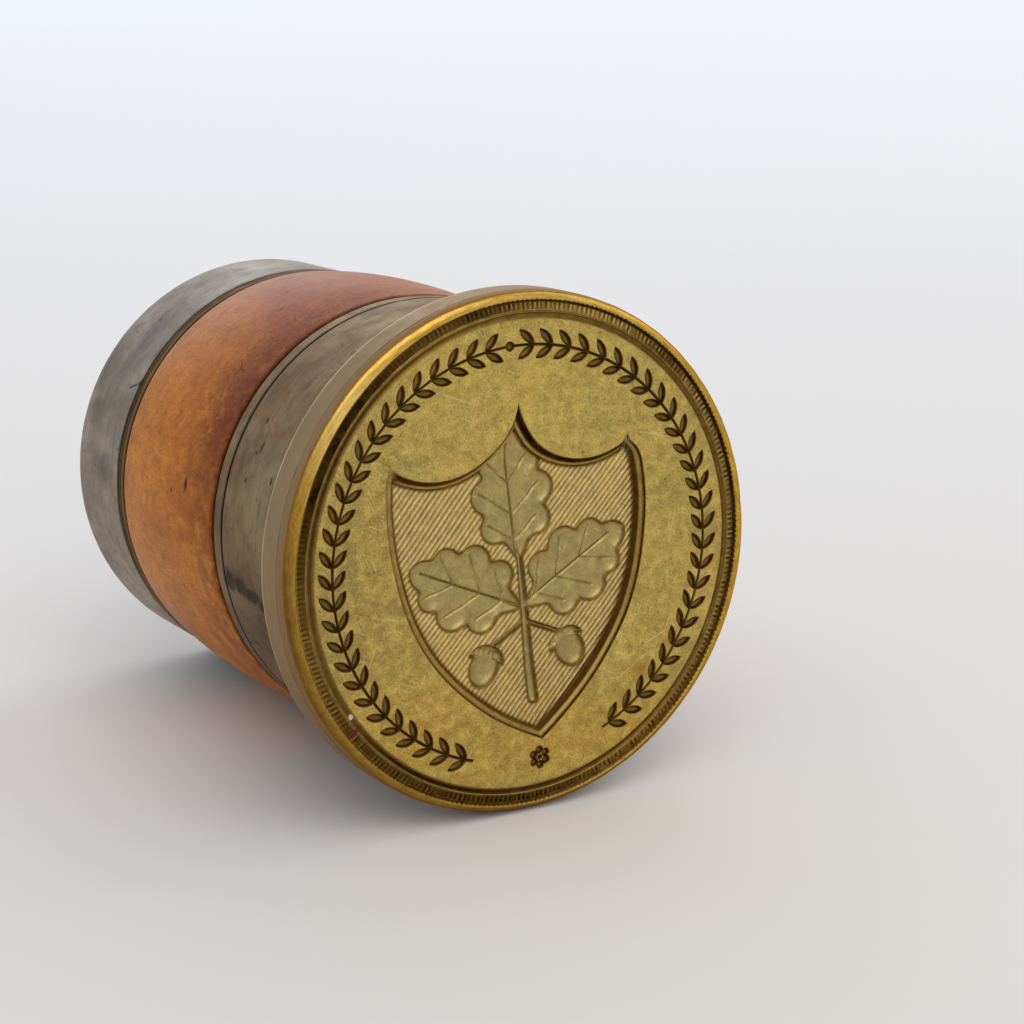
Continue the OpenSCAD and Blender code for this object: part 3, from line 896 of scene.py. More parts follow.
# %% Dirt and painted shade on the rim
# Where the milling is dirtier: angle, width in degrees and amount
DIRTY_STRETCHES = (
    (147, 34, 0.75),
    (225, 30, 0.25),
    (262, 28, 0.3),
    (95, 22, 0.12),
    (30, 12, 0.15),
    (46, 7, 0.3),
    (100, 5, 0.2),
)
upper_left, foot_side = stretch_at(angle, 150, 36), stretch_at(angle, 262, 36)
soiled = 0.38 - 0.3 * worn * reeds + 0.1 * waves(angle, 11, 6, 14)
for turn, width, amount in DIRTY_STRETCHES:
    soiled += amount * stretch_at(angle, turn, width)
line_level = 0.95 - 0.7 * stretch_at(angle, 185, 45) - 0.4 * stretch_at(angle, 290, 50)
outer_line = line_level * ramp(0.13, 0.03, np.abs(reach - MILLED_OUT + 0.06))
ridge_level = 0.4 + 0.3 * upper_left - 0.38 * foot_side
on_ridge = ridge_level * ramp(0.08, 0.03, np.abs(reach - MILLED_IN + 0.04))
core_level = 0.5 + 0.35 * upper_left + 0.4 * stretch_at(angle, 238, 16) + 0.3 * foot_side
in_line = core_level * ramp(0.17, 0.06, np.abs(reach - MILLED_IN + 0.2))
on_slope = 0.48 * ramp(MILLED_IN - 0.54, MILLED_IN - 0.4, reach) * (reach < MILLED_IN - 0.08)
on_bead = ramp(MILLED_OUT - 0.02, MILLED_OUT + 0.08, reach) * (points[:, 2] > EDGE_Z + 0.05)
# Painted shade on the bead: browner towards the lower left, on its outer part at the left, and at
# the lower right
bead_painted_shade = 0.28 * ramp(0.0, 0.6, np.cos(angle - math.radians(235)))
bead_painted_shade += 0.22 * stretch_at(angle, 312, 24)
bead_painted_shade += 0.3 * stretch_at(angle, 190, 42) * ramp(FACE_R - 0.65, FACE_R - 0.3, reach)
parts = [outer_line, on_reeds * soiled, on_ridge, in_line, on_slope, on_bead * bead_painted_shade]
dirt_and_bead_shade = np.maximum.reduce(parts) * raised
store(rim, "dirt_and_shade", np.clip(dirt_and_bead_shade, 0, 1))
print("dirt on the rim: mean", round(float(dirt_and_bead_shade.mean()), 2))

# %% [markdown]
# The top of the bead is rubbed to gold, and lower on its side the brass is tarnished. The border
# between them could be painted on an image. Here it is a height that changes a little round the
# circle, so it needs no image and follows the bead exactly. A painted highlight lies on the bead at
# the upper left.

# %% Gold, tarnish and painted highlight of the rim
store(rim, "rubbed", on_bead)
# Painted highlight on the bead, strongest at the upper left and weaker at the top
glint = 0.9 * stretch_at(angle, 139, 13) * ramp(0.28, 0.06, np.abs(reach - FACE_R + 0.5))
shine = np.clip(glint + 0.3 * stretch_at(angle, 80, 50), 0, 1)
store(rim, "bright", on_bead * shine)
gold_end = FACE_Z - 0.17 + 0.09 * stretch_at(angle, 170, 60)
below_gold = np.clip((gold_end - points[:, 2]) / 0.22, 0, 1)
store(rim, "tarnish", (reach > FLANGE_R - 0.5) * below_gold)
print("gold ends", round(float(FACE_Z - gold_end.mean()), 2), "mm under the face")

# %% [markdown]
# Behind the face the die has a body and a boss that sit in the holder. They show only if
# the seal is taken apart, so one plain swept profile is enough.

# %% Body of the die
BOSS_R, STUD_HOLE_R, FIT = 7, 4, 0.03
BOSS_Z, BODY_Z = bottom("seal_die"), EDGE_Z - 1.5
BODY_TOP, STUD_END = FACE_Z - 1.32, BODY_Z + 0.4
body_profile = [
    (STUD_HOLE_R, BOSS_Z),
    (BOSS_R - FIT, BOSS_Z),
    (BOSS_R - FIT, BODY_Z),
    (SOCKET_R - 0.1, BODY_Z),
    (SOCKET_R - 0.1, BODY_TOP),
    (0, BODY_TOP),
    (0, STUD_END),
    (STUD_HOLE_R, STUD_END),
]
die_body = lathe("die_body", body_profile, 96)
print("die body:", len(die_body.data.polygons), "faces")

# %% [markdown]
# The holder is a flange with a neck behind it. It could be two cylinders, but the lathe profile
# also has the fillet between them, the socket for the die and a thin lip at the neck's end that
# covers most of the washer's edge. The rear edge of the flange is worn to bare metal and carries a
# painted highlight, so it gets extra rows of vertices that can carry one value for both.

# %% Profile of the holder
HOLDER_Z, FLANGE_Z = bottom("die_holder"), EDGE_Z - 2.2
NUT_POCKET_R, NUT_POCKET_Z = 8.1, HOLDER_Z + 3.8
LIP, LIP_R, FILLET = 0.1, NECK_R - 0.3, 0.8
# Rounded rear edge of the flange, as (inset, height)
FLANGE_EDGE = ((0.2, 0), (0.12, 0.005), (0.05, 0.05), (0.005, 0.12), (0, 0.2))
holder_profile = [
    (NUT_POCKET_R, HOLDER_Z),
    (LIP_R, HOLDER_Z),
    (LIP_R, HOLDER_Z - LIP),
    (NECK_R - 0.06, HOLDER_Z - LIP),
    (NECK_R - 0.015, HOLDER_Z - LIP + 0.03),
    (NECK_R, HOLDER_Z - LIP + 0.08),
    *line((NECK_R, HOLDER_Z + 0.16), (NECK_R, FLANGE_Z - FILLET), 36),
    *corner((NECK_R + FILLET, FLANGE_Z - FILLET), FILLET, 180, 90, 6),
    *[(FLANGE_R - inset, FLANGE_Z + height) for inset, height in FLANGE_EDGE],
    *line((FLANGE_R, FLANGE_Z + 0.3), (FLANGE_R, EDGE_Z - 0.1), 8),
    (FLANGE_R, EDGE_Z),
    (SOCKET_R, EDGE_Z),
    (SOCKET_R, BODY_Z),
    (BOSS_R, BODY_Z),
    (BOSS_R, BOSS_Z),
    (STUD_HOLE_R + FIT, BOSS_Z),
    (STUD_HOLE_R + FIT, NUT_POCKET_Z),
    (NUT_POCKET_R, NUT_POCKET_Z),
]
print("holder profile:", len(holder_profile), "points")

# %% [markdown]
# Knocks have left a few soft dents in the neck. A bump in the material wouldn't show at the
# outline, so the vertices round each dent are pushed in. Wear with a painted edge highlight, and
# dirt with painted shade at the lip, are stored on the vertices too.

# %% Holder
# Angle, height, size and depth of each dent
HOLDER_DENTS = (
    (209, 27.9, 0.6, 0.07),
    (211, 29.2, 0.5, 0.05),
    (160, 31, 1.2, 0.03),
    (120, 38.6, 0.6, 0.03),
    (300, 38.2, 0.7, 0.05),
    (40, 30, 1.0, 0.03),
)


def press_dents(obj, dents):
    """Pushes soft dents into the side of a turned piece: angle, height, size, depth."""
    points = read_points(obj)
    reach, angle = polar(points)
    sink = np.zeros_like(reach)
    for turn, height, size, depth in dents:
        off = (angle - math.radians(turn) + math.pi) % (2 * math.pi) - math.pi
        far = (off * reach) ** 2 + (points[:, 2] - height) ** 2
        sink += depth * np.exp(-far / (size * size))
    on_side = ramp(NECK_R - 0.3, NECK_R - 0.1, reach)
    points[:, :2] *= (1 - on_side * sink / np.maximum(reach, 1))[:, None]
    write_points(obj, points)


holder = lathe("holder", holder_profile, 480)
press_dents(holder, HOLDER_DENTS)
points = read_points(holder)
reach, angle = polar(points)
# Worn rear edge of the flange, with a painted highlight on it
edge_rows = ramp(0.2, 0.08, np.abs(points[:, 2] - FLANGE_Z - 0.07)) * (reach > FLANGE_R - 0.18)
store(holder, "wear_and_highlight", edge_rows * np.clip(0.75 + 0.35 * waves(angle, 15, 6, 20), 0, 1))
# Dirt and painted shade darken the lip, where the holder meets the bush
lip_end = HOLDER_Z - LIP
store(holder, "dirt_and_shade", 0.9 * ramp(lip_end + 0.13, lip_end + 0.03, points[:, 2]))
print("holder:", len(holder.data.polygons), "faces,", len(HOLDER_DENTS), "dents")

# %% [markdown]
# A thin brass bush stands in front of the wood and a thin ring behind it. The small rounded edges
# where two pieces meet hold dirt and painted shade, which give the dark lines that separate them.
# One mesh with the wood would have no such seams, so both are lathe pieces of their own. The bush
# has a long sleeve that is hidden in the wood.

# %% Bush
SEAT_Z, BUSH_Z, SLEEVE_Z = top("front_bush"), top("grip"), bottom("front_bush")
SLEEVE_R, SCREW_HOLE_R = 6.5, 2.5
THREAD_R, THREAD_END = STUD_HOLE_R + 0.02, 18


def shade_and_soil_ends(obj, low, high, low_reach, high_reach):
    """Dirt and painted shade at the two ends of a turned piece's visible side, over a reach from
    each end.
    """
    up = read_points(obj)[:, 2]
    low_dirt_and_shade = ramp(low + low_reach, low + 0.3 * low_reach, up)
    store(obj, "dirt_and_shade", np.maximum(low_dirt_and_shade, ramp(high - high_reach, high - 0.3 * high_reach, up)))


bush_profile = [
    (SCREW_HOLE_R, SLEEVE_Z),
    (SLEEVE_R, SLEEVE_Z),
    (SLEEVE_R, BUSH_Z),
    (NECK_R - 0.35, BUSH_Z),
    (NECK_R - 0.12, BUSH_Z + 0.05),
    (NECK_R - 0.02, BUSH_Z + 0.15),
    *line((NECK_R, BUSH_Z + 0.25), (NECK_R, SEAT_Z), 5),
    (NECK_R, SEAT_Z + LIP - 0.08),
    (NECK_R - 0.015, SEAT_Z + LIP - 0.03),
    (NECK_R - 0.06, SEAT_Z + LIP),
    (LIP_R, SEAT_Z + LIP),
    (LIP_R, SEAT_Z),
    (THREAD_R, SEAT_Z),
    (THREAD_R, THREAD_END),
    (SCREW_HOLE_R, THREAD_END),
]
bush = lathe("bush", bush_profile, 360)
shade_and_soil_ends(bush, BUSH_Z, SEAT_Z + LIP, 0.3, 0.14)
print("bush:", len(bush.data.polygons), "faces")

# %% [markdown]
# The ring behind the wood is a plain hoop with two rounded edges. A bevel would round them too.
# Here the lower edge is drawn once in the profile and turned over for the upper one, so both are
# the same and the rows between them can carry a light line, a painted highlight.

# %% Ring behind the wood
SHOULDER_Z, RING_Z = top("rear_ferrule"), bottom("rear_ferrule")
TENON_R = NECK_R - 1.9
ring_lower = [(NECK_R - inset, RING_Z + up) for inset, up in ((0.2, 0), (0.08, 0.05), (0.02, 0.15))]
ring_upper = [(r, RING_Z + SHOULDER_Z - z) for r, z in reversed(ring_lower)]
ring_lower += line((NECK_R, RING_Z + 0.3), (NECK_R, SHOULDER_Z - 0.2), 8)
ring_profile = [(TENON_R, RING_Z), *ring_lower, *ring_upper, (TENON_R, SHOULDER_Z)]
ferrule = lathe("ferrule", ring_profile, 360)
shade_and_soil_ends(ferrule, RING_Z, SHOULDER_Z, 0.3, 0.2)
# A painted highlight makes a light line near its front edge
highlight_z = RING_Z + 0.92
ring_up = read_points(ferrule)[:, 2]
store(ferrule, "wear_and_highlight", 0.4 * ramp(0.2, 0.06, np.abs(ring_up - highlight_z)))
print("ring:", len(ferrule.data.polygons), "faces")

# %% [markdown]
# The grip is a turned barrel of wood that swells a little in the middle. A cylinder with
# its middle scaled up would swell too, but the profile also has the worn ends and the
# tenon that goes into the cap. Old wood has dents from handling, so a few are pressed in.

# %% Grip
CAP_FLOOR_Z = bottom("grip")
SWELL = radius("grip") - NECK_R
GRIP_DENTS = (
    (150, 24.4, 0.5, 0.04),
    (108, 16, 0.6, 0.03),
    (230, 22, 0.7, 0.05),
    (20, 14, 0.8, 0.04),
)
heights = np.linspace(SHOULDER_Z + 0.3, BUSH_Z - 0.3, 40)
middle, half = (SHOULDER_Z + BUSH_Z) / 2, (BUSH_Z - SHOULDER_Z) / 2
barrel = [(NECK_R + SWELL * (1 - ((z - middle) / half) ** 2), z) for z in heights]
grip_profile = [
    (SCREW_HOLE_R + FIT, CAP_FLOOR_Z),
    (TENON_R - FIT, CAP_FLOOR_Z),
    (TENON_R - FIT, SHOULDER_Z),
    (NECK_R - 0.35, SHOULDER_Z),
    (NECK_R - 0.1, SHOULDER_Z + 0.08),
    *barrel,
    (NECK_R - 0.1, BUSH_Z - 0.1),
    (NECK_R - 0.4, BUSH_Z),
    (SLEEVE_R + FIT, BUSH_Z),
    (SLEEVE_R + FIT, SLEEVE_Z),
    (SCREW_HOLE_R + FIT, SLEEVE_Z),
]
wood_grip = lathe("wood_grip", grip_profile, 360)
press_dents(wood_grip, GRIP_DENTS)
shade_and_soil_ends(wood_grip, SHOULDER_Z, BUSH_Z, 0.18, 0.4)
print("grip:", len(wood_grip.data.polygons), "faces, swell", round(SWELL, 2), "mm")

# %% [markdown]
# The cap closes the rear end, and a dished plug hides the screw in it. The photo doesn't
# show this end, so it is kept plain, as a turner would leave it.

# %% Cap and plug
CAP_ROUND = 0.4
PLUG_HOLE_R, PLUG_HOLE_Z = 5.5, 4
CAP_DENTS = ((148, 7.2, 0.4, 0.06), (190, 3, 1.2, 0.03), (60, 4, 1, 0.04))
cap_profile = [
    (PLUG_HOLE_R, 0),
    *corner((NECK_R - CAP_ROUND, CAP_ROUND), CAP_ROUND, -90, 0, 8),
    *line((NECK_R, 0.8), (NECK_R, RING_Z - 0.25), 18),
    (NECK_R, RING_Z - 0.2),
    (NECK_R - 0.05, RING_Z - 0.06),
    (NECK_R - 0.18, RING_Z),
    (TENON_R, RING_Z),
    (TENON_R, CAP_FLOOR_Z),
    (SCREW_HOLE_R + FIT, CAP_FLOOR_Z),
    (SCREW_HOLE_R + FIT, PLUG_HOLE_Z),
    (PLUG_HOLE_R, PLUG_HOLE_Z),
]
cap = lathe("cap", cap_profile, 360)
press_dents(cap, CAP_DENTS)
points = read_points(cap)
# Dirt and painted shade darken its front edge, where it meets the ring
store(cap, "dirt_and_shade", ramp(RING_Z - 0.14, RING_Z - 0.04, points[:, 2]))
store(cap, "wear_and_highlight", 0.35 * ramp(0.5, 0.15, points[:, 2]) * (polar(points)[0] > NECK_R - 0.6))

PLUG_R, PLUG_H, DISH_R, DISH = PLUG_HOLE_R - 0.04, top("cap_plug"), 2.2, 0.12
plug_edge = [(PLUG_R - 0.56, 0.05), (PLUG_R - 0.16, 0.06), (PLUG_R - 0.02, 0.16), (PLUG_R, 0.3)]
plug_profile = [(0, DISH), (DISH_R, DISH), *plug_edge, (PLUG_R, PLUG_H), (0, PLUG_H)]
plug = lathe("plug", plug_profile, 128)
print("cap:", len(cap.data.polygons), "faces, plug:", len(plug.data.polygons), "faces")

# %% [markdown]
# The stud shows only when the head is unscrewed from the handle. A thread could be a
# spiral sweep of its own. Here it is a lathe piece with close rows, whose vertices are
# drawn in along a right-hand thread, so it stays one closed solid. Its crests fade at
# the end, as on a chamfered screw.

# %% Stud
STUD_R, STUD_Z, STUD_TOP = radius("die_stud"), bottom("die_stud"), top("die_stud")
PITCH, THREAD_DEPTH = 1.5, 0.75
# Half of the flat crest and the sloping flank, as shares of half a turn
CREST, FLANK = 0.125, 0.625
CHAMFER_H = 0.8
THREAD_TOP = HOLDER_Z + 0.5
stud_rows = line((STUD_R, STUD_Z), (STUD_R, THREAD_TOP), 84)
stud_profile = [(0, STUD_Z), *stud_rows, (STUD_R, THREAD_TOP), (STUD_R, STUD_TOP), (0, STUD_TOP)]
stud = lathe("stud", stud_profile, 96)
points = read_points(stud)
reach, angle = polar(points)
from_crest = 2 * np.abs((points[:, 2] / PITCH - angle / (2 * math.pi)) % 1 - 0.5)
groove = np.clip((from_crest - CREST) / FLANK, 0, 1)
groove *= ramp(THREAD_TOP, THREAD_TOP - 0.3, points[:, 2])
chamfer = ramp(STUD_Z + CHAMFER_H, STUD_Z, points[:, 2])
sink = THREAD_DEPTH * np.maximum(groove, chamfer) * (reach > STUD_R - 0.1)
points[:, :2] *= (1 - sink / np.maximum(reach, 1))[:, None]
write_points(stud, points)
print("stud:", len(stud.data.polygons), "faces, pitch", PITCH, "mm")

# %% [markdown]
# Turned metal has round sides and crisp edges. Flat shading would show every face, and
# plain smooth shading would blur the edges, so faces are smoothed only where they meet at
# a small angle. Each piece then rides its CAD body and stands for its CAD node.

# %% Ride and replace
def settle(obj, body, node, sharp=35):
    """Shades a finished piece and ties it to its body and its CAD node."""
    clear_selection()
    obj.select_set(True)
    bpy.context.view_layer.objects.active = obj
    bpy.ops.object.shade_smooth_by_angle(angle=math.radians(sharp))
    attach(obj, body)
    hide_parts(node)


die_pieces = (field, ground_piece, border, rim, die_body)
for piece in die_pieces:
    settle(piece, "head", "seal_die", 50)
settle(holder, "head", "die_holder")
settle(bush, "handle", "front_bush")
settle(ferrule, "handle", "rear_ferrule")
settle(wood_grip, "handle", "grip")
settle(cap, "handle", "rear_cap")
settle(plug, "handle", "cap_plug")
settle(stud, "head", "die_stud")
print("settled:", len(die_pieces) + 7, "pieces")

# %% [markdown]
# Materials come next. One function turns a colour code into the linear colour that
# Blender mixes with, and one adds a node with its settings and links. A material is then
# a list of layers, each with a share and a colour, that are mixed one over the other.

# %% Material helpers
def linear(code):
    """Linear colour from an sRGB hex code."""
    parts = [int(code[i : i + 2], 16) / 255 for i in (1, 3, 5)]
    return (*[p / 12.92 if p <= 0.04045 else ((p + 0.055) / 1.055) ** 2.4 for p in parts], 1)


def add(tree, kind, *inputs, out=None, **settings):
    """Adds a node with its settings, and gives its first output or the one with this name.

    Inputs are links or values, in the order that the node shows. None keeps a default.
    """
    node = tree.nodes.new("ShaderNode" + kind)
    for name, value in settings.items():
        setattr(node, name, value)
    for socket, value in zip([s for s in node.inputs if s.enabled], inputs):
        if isinstance(value, bpy.types.NodeSocket):
            tree.links.new(value, socket)
        elif value is not None:
            socket.default_value = value
    return node.outputs[out] if out else [s for s in node.outputs if s.enabled][0]


def new_material(name):
    """A new material, its node tree, its shader and the object coordinates in mm."""
    material = bpy.data.materials.new(name)
    material.use_nodes = True
    tree = material.node_tree
    coords = add(tree, "TexCoord", out="Object")
    place = add(tree, "VectorMath", coords, 1 / MM, operation="SCALE")
    return material, tree, tree.nodes["Principled BSDF"], place


print("mid grey is", round(linear("#808080")[0], 3), "in linear light")

# %% [markdown]
# Old things carry single marks: a stain, a knot, a scratch. An image texture could paint
# them, but the materials here are worked out. So a mark is placed by its distance from
# a point or a line. For marks on the round side, the side is unrolled first: one
# direction is the way round, in mm, and the other is the height. The unrolled side
# starts and ends at the angle 0, which faces away from the photo.

# %% Single marks
def unrolled(tree, place, size):
    """The round side laid flat: mm round from the angle 180, and height."""
    facing = add(tree, "VectorMath", place, (-1, -1, 1), operation="MULTIPLY")
    axes = add(tree, "SeparateXYZ", facing).node.outputs
    turn = add(tree, "Math", axes["Y"], axes["X"], operation="ARCTAN2")
    way_round = add(tree, "Math", turn, size, operation="MULTIPLY")
    return add(tree, "CombineXYZ", way_round, axes["Z"])


def ragged(tree, place, size, amount):
    """A place pushed about by noise, so that marks get uneven edges."""
    push = add(tree, "TexNoise", place, 1 / size, 3, out="Color")
    push = add(tree, "VectorMath", push, (0.5, 0.5, 0.5), operation="SUBTRACT")
    push = add(tree, "VectorMath", push, (amount, amount, 0), operation="MULTIPLY")
    return add(tree, "VectorMath", place, push, operation="ADD")


def spot(tree, place, centre, size, soft=0.4, strength=1):
    """An oval mark, 0 outside it: centre and half sizes in mm."""
    away = add(tree, "VectorMath", place, (*centre, 0), operation="SUBTRACT")
    away = add(tree, "VectorMath", away, (1 / size[0], 1 / size[1], 0), operation="MULTIPLY")
    far = add(tree, "VectorMath", away, operation="LENGTH")
    return add(tree, "MapRange", far, 1 + soft, 1 - soft, 0, strength)


def scratch(tree, place, start, end, width, strength=1):
    """A straight scratch between two points, 0 away from it."""
    run = (end[0] - start[0], end[1] - start[1], 0)
    off = add(tree, "VectorMath", place, (*start, 0), operation="SUBTRACT")
    off = add(tree, "VectorMath", off, (1, 1, 0), operation="MULTIPLY")
    along = add(tree, "VectorMath", off, run, operation="DOT_PRODUCT")
    length_2 = run[0] ** 2 + run[1] ** 2
    share = add(tree, "Math", along, length_2, operation="DIVIDE", use_clamp=True)
    near = add(tree, "VectorMath", run, share, operation="SCALE")
    far = add(tree, "VectorMath", off, near, operation="DISTANCE")
    return add(tree, "MapRange", far, width, 0.3 * width, 0, strength)


print("marks on the neck reach", round(math.pi * NECK_R, 1), "mm to each side")

# %% [markdown]
# The face is cast brass, engraved and polished long ago, with a mottled, greenish patina
# that gives the eye soft clouds and fine specks. Sizes are in mm: clouds of 4, mottling
# of about 1, and a grain of 0.13, which is coarser than the real one so that it shows.

# %% Engraved brass: patina
face_brass, tree, shader, place = new_material("engraved brass with patina")
axes = add(tree, "SeparateXYZ", place).node.outputs
clouds = add(tree, "TexNoise", place, 1 / 4, 4, 0.6)
mottle = add(tree, "TexNoise", place, 1 / 0.9, 7, 0.72)
flakes = add(tree, "TexNoise", ragged(tree, place, 1.2, 0.9), 1 / 0.75, 6, 0.66)
grain = add(tree, "TexNoise", place, 1 / 0.13, 3, 0.6)
specks = add(tree, "TexNoise", place, 1 / 0.35, 2, 0.5)
cloud_share = add(tree, "MapRange", clouds, 0.38, 0.62)
base = add(tree, "Mix", cloud_share, linear("#aa9b56"), linear("#c3a657"), data_type="RGBA")
layers = [(add(tree, "MapRange", axes["Y"], 6, -14, 0, 0.3), linear("#bd9444"))]
for centre, size, code in (
    ((-11.5, 0), (3, 5), "#8f7f4c"),
    ((1.7, -7.8), (2.5, 2.5), "#86703a"),
    ((-8, -10.5), (5, 3), "#c8943a"),
    ((5, -12.5), (6, 2), "#c8943a"),
    ((0, 11), (6, 3), "#d0b152"),
):
    cloud = spot(tree, ragged(tree, place, 3, 4), centre, size, 0.9, 0.6)
    layers.append((cloud, linear(code)))
layers += [
    (add(tree, "MapRange", mottle, 0.44, 0.72, 0, 0.6), linear("#8f7640")),
    (add(tree, "MapRange", flakes, 0.43, 0.7, 0, 0.65), linear("#e8cc68")),
    (add(tree, "MapRange", grain, 0.5, 0.7, 0, 0.5), linear("#765a2a")),
    (add(tree, "MapRange", grain, 0.46, 0.3, 0, 0.3), linear("#e8d69a")),
    (add(tree, "MapRange", specks, 0.68, 0.75, 0, 0.5), linear("#54421c")),
]
print("patina:", len(layers), "layers")

# %% [markdown]
# Fingers and wax have rubbed the high places: the ridges of the hatching are lighter and sparkle
# with painted glints, and the bead of the rim is worn to gold with streaks along it. A painted
# highlight lies on the bead at the upper left and on two rows of the shield's wall at the lower
# right. The values stored on the vertices say where. Noise breaks them up, because an even edge
# would look painted.

# %% Engraved brass: rubbed places and painted highlights
leafy, ridges, rubbed, bright, dirt_and_shade, tarnish = (
    add(tree, "Attribute", out="Fac", attribute_name=name)
    for name in ("leafy", "ridges", "rubbed", "bright", "dirt_and_shade", "tarnish")
)
sparkle = add(tree, "TexNoise", place, 1 / 0.28, 4, 0.7)
sparkle = add(tree, "MapRange", sparkle, 0.36, 0.6, 0.35, 1)
along_rim = add(tree, "SeparateXYZ", unrolled(tree, place, FACE_R), out="X")
flat_place = add(tree, "VectorMath", place, (1, 1, 0), operation="MULTIPLY")
from_axis = add(tree, "VectorMath", flat_place, operation="LENGTH")
rim_place = add(tree, "CombineXYZ", along_rim, axes["Z"], from_axis)
rim_place = add(tree, "VectorMath", rim_place, (0.45, 2.5, 2.5), operation="MULTIPLY")
streaky = add(tree, "TexNoise", rim_place, 1 / 0.35, 6, 0.7)
gold_share = add(tree, "MapRange", streaky, 0.36, 0.64)
gold = add(tree, "Mix", gold_share, linear("#a4771f"), linear("#dcab3e"), data_type="RGBA")
shining = add(tree, "MapRange", streaky, 0.35, 0.6, 0.6, 1)
layers += [
    (add(tree, "MapRange", leafy, 0, 1, 0, 0.55), linear("#a2956a")),
    # Ridges rubbed lighter, with painted glints
    (add(tree, "Math", ridges, sparkle, operation="MULTIPLY"), linear("#f3d9a4")),
    (add(tree, "MapRange", rubbed, 0, 1, 0, 0.9), gold),
    # Painted highlights on the bead and on the lit rows of the wall
    (add(tree, "Math", bright, shining, operation="MULTIPLY"), linear("#ffd97c")),
]
print("with the rubbed places:", len(layers), "layers")

# %% [markdown]
# The field has a rusty stain, a few scratches and many hairlines from wiping. Long thin
# noise in three directions gives the hairlines, because single scratches would be too many.

# %% Engraved brass: scratches
rust = spot(tree, ragged(tree, place, 0.8, 1.4), (8.4, -9.1), (0.7, 0.5), 0.8, 0.6)
layers.append((rust, linear("#a06a28")))
for start, end, width in (
    ((8.7, 7.0), (12.6, 6.0), 0.035),
    ((9.0, 7.4), (11.4, 5.8), 0.025),
    ((9.2, -7.1), (12.5, -5.8), 0.04),
    ((6.6, -9.3), (9.0, -7.9), 0.03),
    ((-6, 11.2), (-3.4, 10.2), 0.03),
):
    layers.append((scratch(tree, place, start, end, width, 0.45), linear("#f0e4b4")))
for turn in (25, 70, 115):
    middle, angle = (0, 0, 0), math.radians(turn)
    across = add(tree, "VectorRotate", place, middle, angle, rotation_type="Z_AXIS")
    thin = add(tree, "VectorMath", across, (0.05, 1, 0), operation="MULTIPLY")
    hairlines = add(tree, "TexNoise", thin, 1 / 0.1, 2, 0.4)
    layers.append((add(tree, "MapRange", hairlines, 0.66, 0.72, 0, 0.4), linear("#f2e09c")))
print("with the scratches:", len(layers), "layers")

# %% [markdown]
# Dirt browns the cuts and blackens the deepest ones, and the side of the rim is tarnished. The same
# values also darken the shield's wall, the foot of the wall and parts of the bead with painted
# shade.
# A trace of red wax and a pale chip sit in the groove, and green corrosion in the
# shield's right ear. The shader could guess at hollows from the mesh, but the values on
# the vertices know every cut.

# %% Engraved brass: dirt
patchy = add(tree, "MapRange", mottle, 0.3, 0.65, 1.1, 0.8)
dirt_and_shade_share = add(tree, "Math", dirt_and_shade, patchy, operation="MULTIPLY", use_clamp=True)
patchy = add(tree, "MapRange", mottle, 0.3, 0.6, 0.85, 1.15)
tarnish = add(tree, "Math", tarnish, patchy, operation="MULTIPLY", use_clamp=True)
caked, crumbs = add(tree, "MapRange", dirt_and_shade, 0.5, 0.65), add(tree, "MapRange", grain, 0.42, 0.56)
crust = add(tree, "Math", caked, crumbs, operation="MULTIPLY")
in_ear = spot(tree, ragged(tree, place, 0.4, 0.3), (7.85, 5.2), (0.33, 1.7), 0.2)
green = add(tree, "Math", in_ear, crust, operation="MULTIPLY")
wax = scratch(tree, ragged(tree, place, 0.3, 0.25), (-12.8, -9.75), (-12.1, -9.2), 0.24)
chip = spot(tree, ragged(tree, place, 0.2, 0.15), (-12.65, -8.45), (0.14, 0.2), 0.2)
layers += [
    # Dirt and painted shade: brown, and black where they are strongest
    (add(tree, "MapRange", dirt_and_shade_share, 0, 0.55), linear("#755828")),
    (add(tree, "MapRange", dirt_and_shade_share, 0.45, 1), linear("#20150a")),
    (add(tree, "MapRange", tarnish, 0.05, 0.5), linear("#8a5720")),
    (add(tree, "MapRange", tarnish, 0.45, 0.9), linear("#8d7758")),
    (green, linear("#3f7f6b")),
    (wax, linear("#6d1f2e")),
    (chip, linear("#d8cdb4")),
]
print("with the dirt:", len(layers), "layers")

# %% [markdown]
# Old brass is rough where it is dirty and smoother where it is rubbed. Wax and corrosion
# aren't metal. One roughness for all would shine like lacquer, so it follows the same
# values as the colour. At a flat angle brass mirrors the light in its own gold.

# %% Engraved brass: finish
tone = base
for share, colour in layers:
    tone = add(tree, "Mix", share, tone, colour, data_type="RGBA")
tree.links.new(tone, shader.inputs["Base Color"])
dull = add(tree, "Math", chip, green, operation="MAXIMUM")
dull = add(tree, "Math", wax, dull, operation="MAXIMUM")
metal = add(tree, "MapRange", dull, 0, 1, 0.9, 0)
less = add(tree, "MapRange", tarnish, 0, 1, 0, 0.15)
metal = add(tree, "Math", metal, less, operation="SUBTRACT", use_clamp=True)
tree.links.new(metal, shader.inputs["Metallic"])
shader.inputs["Specular Tint"].default_value = linear("#e3b45e")
rough = add(tree, "MapRange", mottle, 0.3, 0.7, 0.36, 0.5)
for value, amount in ((dirt_and_shade, 0.25), (rubbed, -0.14), (tarnish, 0.16)):
    rough = add(tree, "Math", rough, add(tree, "MapRange", value, 0, 1, 0, amount), operation="ADD")
tree.links.new(rough, shader.inputs["Roughness"])
relief = add(tree, "Math", mottle, 1.5, operation="MULTIPLY")
relief = add(tree, "Math", relief, grain, operation="ADD")
relief = add(tree, "Math", relief, 0.4, operation="MULTIPLY")
RELIEF = 0.02
tree.links.new(add(tree, "Bump", 1, RELIEF * MM, None, relief), shader.inputs["Normal"])
print(face_brass.name, "has", len(tree.nodes), "nodes")

